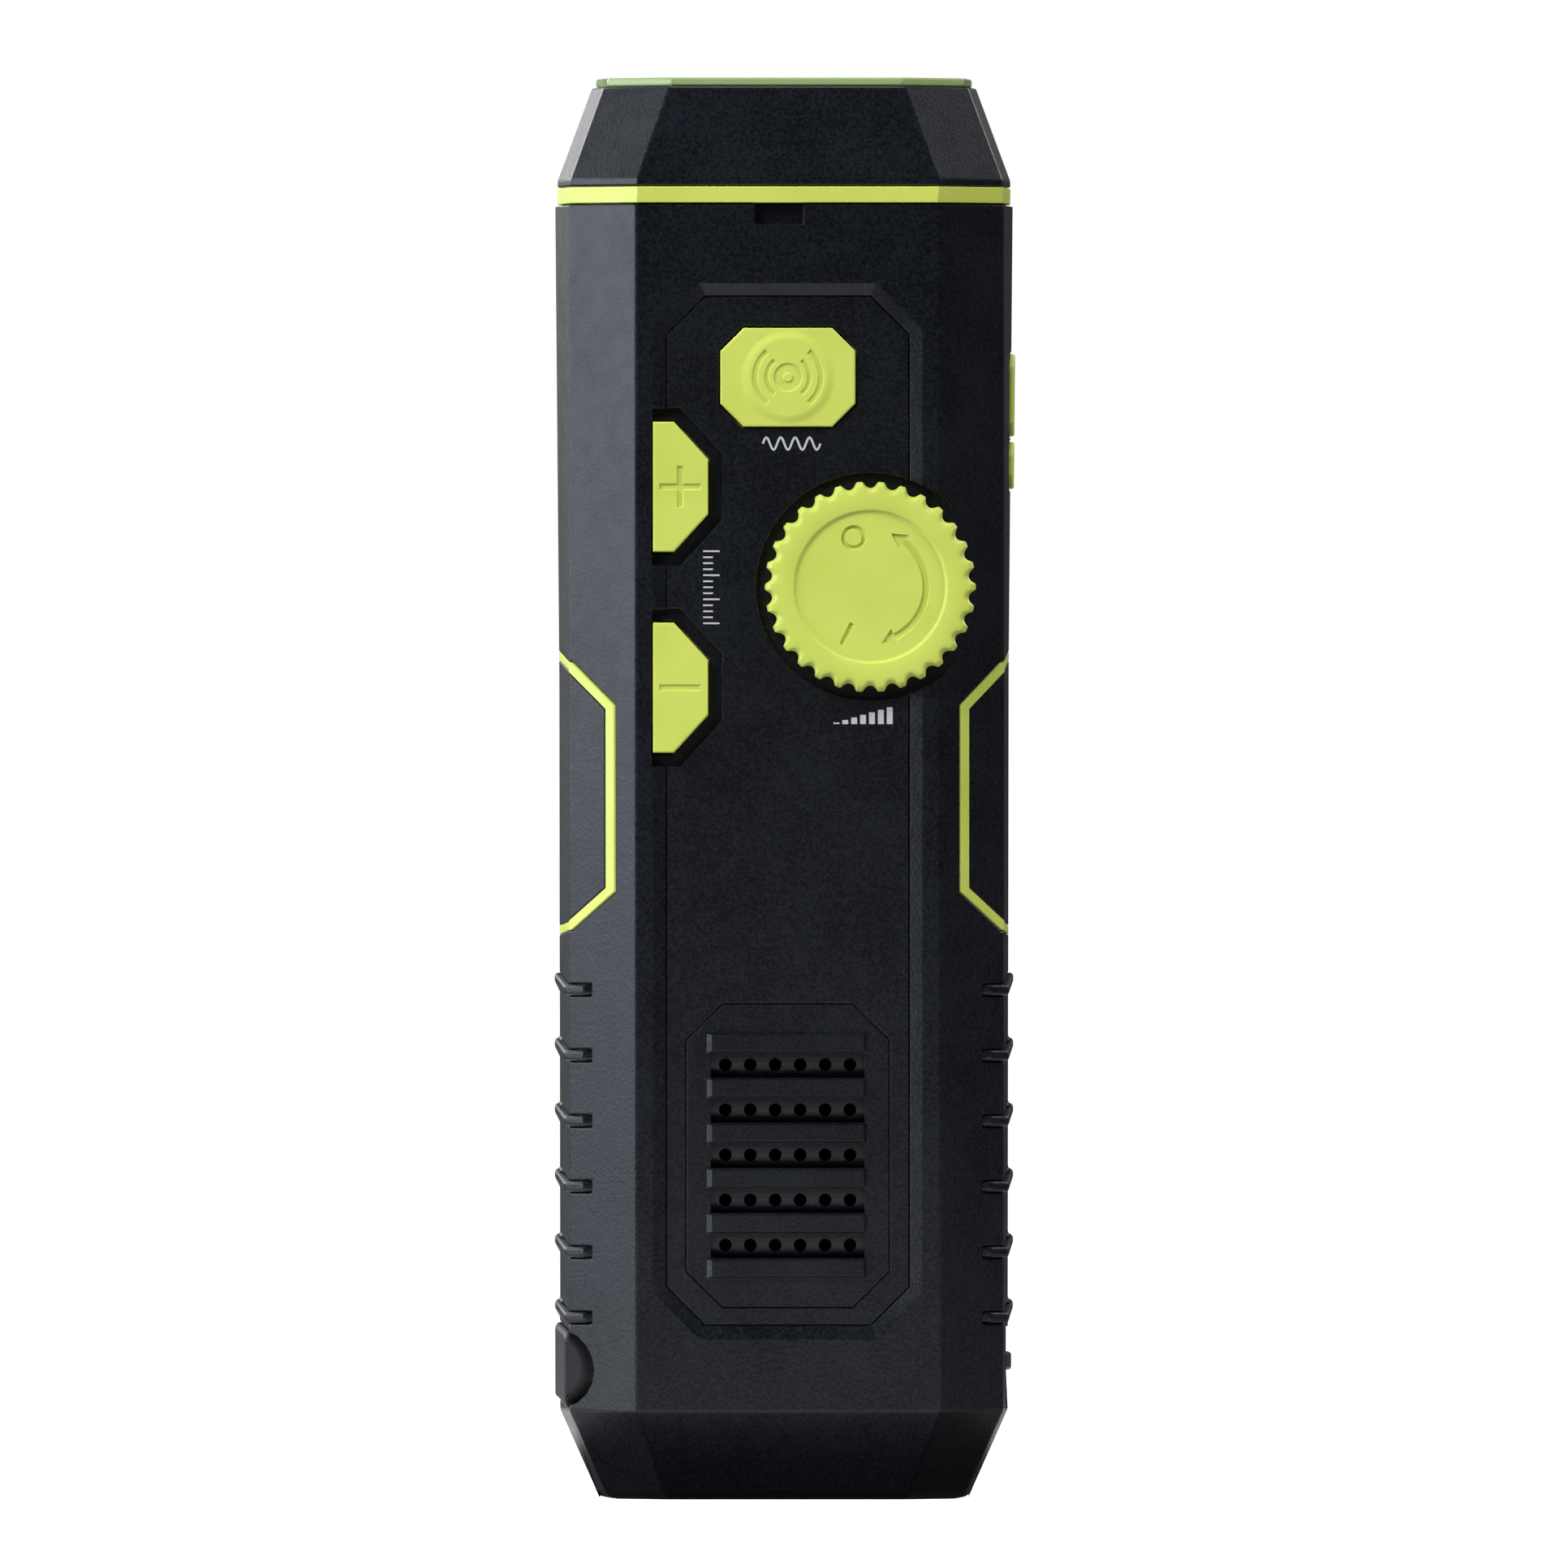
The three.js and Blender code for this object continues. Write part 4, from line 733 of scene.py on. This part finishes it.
def cyclorama():
    """A round floor that curves up into a wall on every side."""
    profile = [(0.25, 0.0), (0.8, 0.0), (STUDIO_R - STUDIO_BEND, 0.0)]
    for i in range(1, BEND_STEPS + 1):
        turn = math.radians(90 * i / BEND_STEPS)
        r = STUDIO_R - STUDIO_BEND + STUDIO_BEND * math.sin(turn)
        profile.append((r, STUDIO_BEND * (1 - math.cos(turn))))
    profile.append((STUDIO_R, STUDIO_TALL))
    bm = bmesh.new()
    middle_point = bm.verts.new((0, 0, 0))
    turns = [math.tau * k / STUDIO_SIDES for k in range(STUDIO_SIDES)]
    rows = [[bm.verts.new((r * math.cos(t), r * math.sin(t), z)) for t in turns] for r, z in profile]
    for k in range(STUDIO_SIDES):
        after = (k + 1) % STUDIO_SIDES
        bm.faces.new((middle_point, rows[0][k], rows[0][after]))
        for low, high in zip(rows, rows[1:]):
            bm.faces.new((low[k], high[k], high[after], low[after]))
    mesh = bpy.data.meshes.new("studio_floor")
    bm.to_mesh(mesh)
    bm.free()
    mesh.polygons.foreach_set("use_smooth", [True] * len(mesh.polygons))
    floor = bpy.data.objects.new("studio_floor", mesh)
    scene.collection.objects.link(floor)
    pale = Nodes("pale_floor")
    pale.ramp(pale.noise(120.0, 2.0), [(0.3, (0.46, 0.46, 0.46)), (0.7, (0.48, 0.48, 0.48))])
    pale.set(Roughness=0.9, Specular_IOR_Level=0.1, Emission_Color=(1, 1, 1, 1), Emission_Strength=0.97)
    mesh.materials.append(pale.material)
    floor.visible_glossy = False
    floor.visible_diffuse = False


def softbox(name, place, aim, size, brightness, tint=(1, 1, 1), mirrored=True):
    """An area light, as bright as brightness with white as 1. mirrored says if glossy faces show it."""
    data = bpy.data.lights.new(name, "AREA")
    data.color = tint
    data.shape, data.size, data.size_y = "RECTANGLE", size[0], size[1]
    data.energy = brightness * math.pi * size[0] * size[1]
    made = bpy.data.objects.new(name, data)
    made.location = place
    made.rotation_mode = "QUATERNION"
    made.rotation_quaternion = (Vector(aim) - Vector(place)).to_track_quat("-Z", "Y")
    made.visible_camera = False
    made.visible_glossy = mirrored
    scene.collection.objects.link(made)


cyclorama()
COOL = (0.90, 0.96, 1.08)
softbox("left_panel", (-0.5, 0.02, 0.235), (0, 0.0, 0.17), (0.44, 0.37), 3.6, COOL)
softbox("edge_strip", (-0.73, -0.325, 0.13), (0, 0, 0.09), (0.10, 0.5), 8.5, COOL)
softbox("key", (-0.75, -0.9, 1.05), (0, 0, 0.09), (0.7, 0.7), 13.5, mirrored=False)
softbox("fill", (0.94, -0.50, 0.92), (0, 0, 0.09), (0.5, 0.5), 12.5, mirrored=False)
softbox("top", (0.0, 0.4, 1.5), (0, 0, 0.1), (0.8, 0.6), 5)
softbox("back_left", (-0.7, 1.0, 0.6), (0, 0, 0.09), (0.6, 0.8), 6.0)
softbox("back_right", (0.9, 0.9, 0.7), (0, 0, 0.09), (0.5, 0.6), 4)
BOUNCE_Z, BOUNCE_IN, BOUNCE_WIDE = 0.003, 0.032, 0.2  # metres; the lit floor round the object
BOUNCE_SIZE = (BOUNCE_WIDE, BOUNCE_WIDE)
BOUNCES = (("front", 0, -1, 0.9), ("left", -1, 0, 0.8), ("right", 1, 0, 0.25), ("back", 0, 1, 0.6))
for name, x, y, brightness in BOUNCES:
    far = BOUNCE_IN + BOUNCE_WIDE / 2
    softbox("floor_" + name, (x * far, y * far, BOUNCE_Z), (x * far, y * far, 1), BOUNCE_SIZE, brightness)

SKY_GLOW = 0.05
world = bpy.data.worlds.new("studio")
scene.world = world
world.use_nodes = True
sky = world.node_tree.nodes["Background"]
sky.inputs["Color"].default_value = (1, 1, 1, 1)
sky.inputs["Strength"].default_value = SKY_GLOW
scene.view_settings.view_transform = "Standard"

DISTANCE, EYE = 6.0, 0.087  # metres
FRAME_WIDE = 0.1912  # metres that the picture takes in at the object
TURN = math.radians(-1.2)
camera_data = bpy.data.cameras.new("camera")
camera_data.sensor_width = 36
camera_data.lens = camera_data.sensor_width * DISTANCE / FRAME_WIDE
camera_data.clip_start, camera_data.clip_end = 0.1, 50
camera = bpy.data.objects.new("camera", camera_data)
scene.collection.objects.link(camera)
camera.location = (DISTANCE * math.sin(TURN), -DISTANCE * math.cos(TURN), EYE)
camera.rotation_euler = (math.pi / 2, 0, TURN)
scene.camera = camera
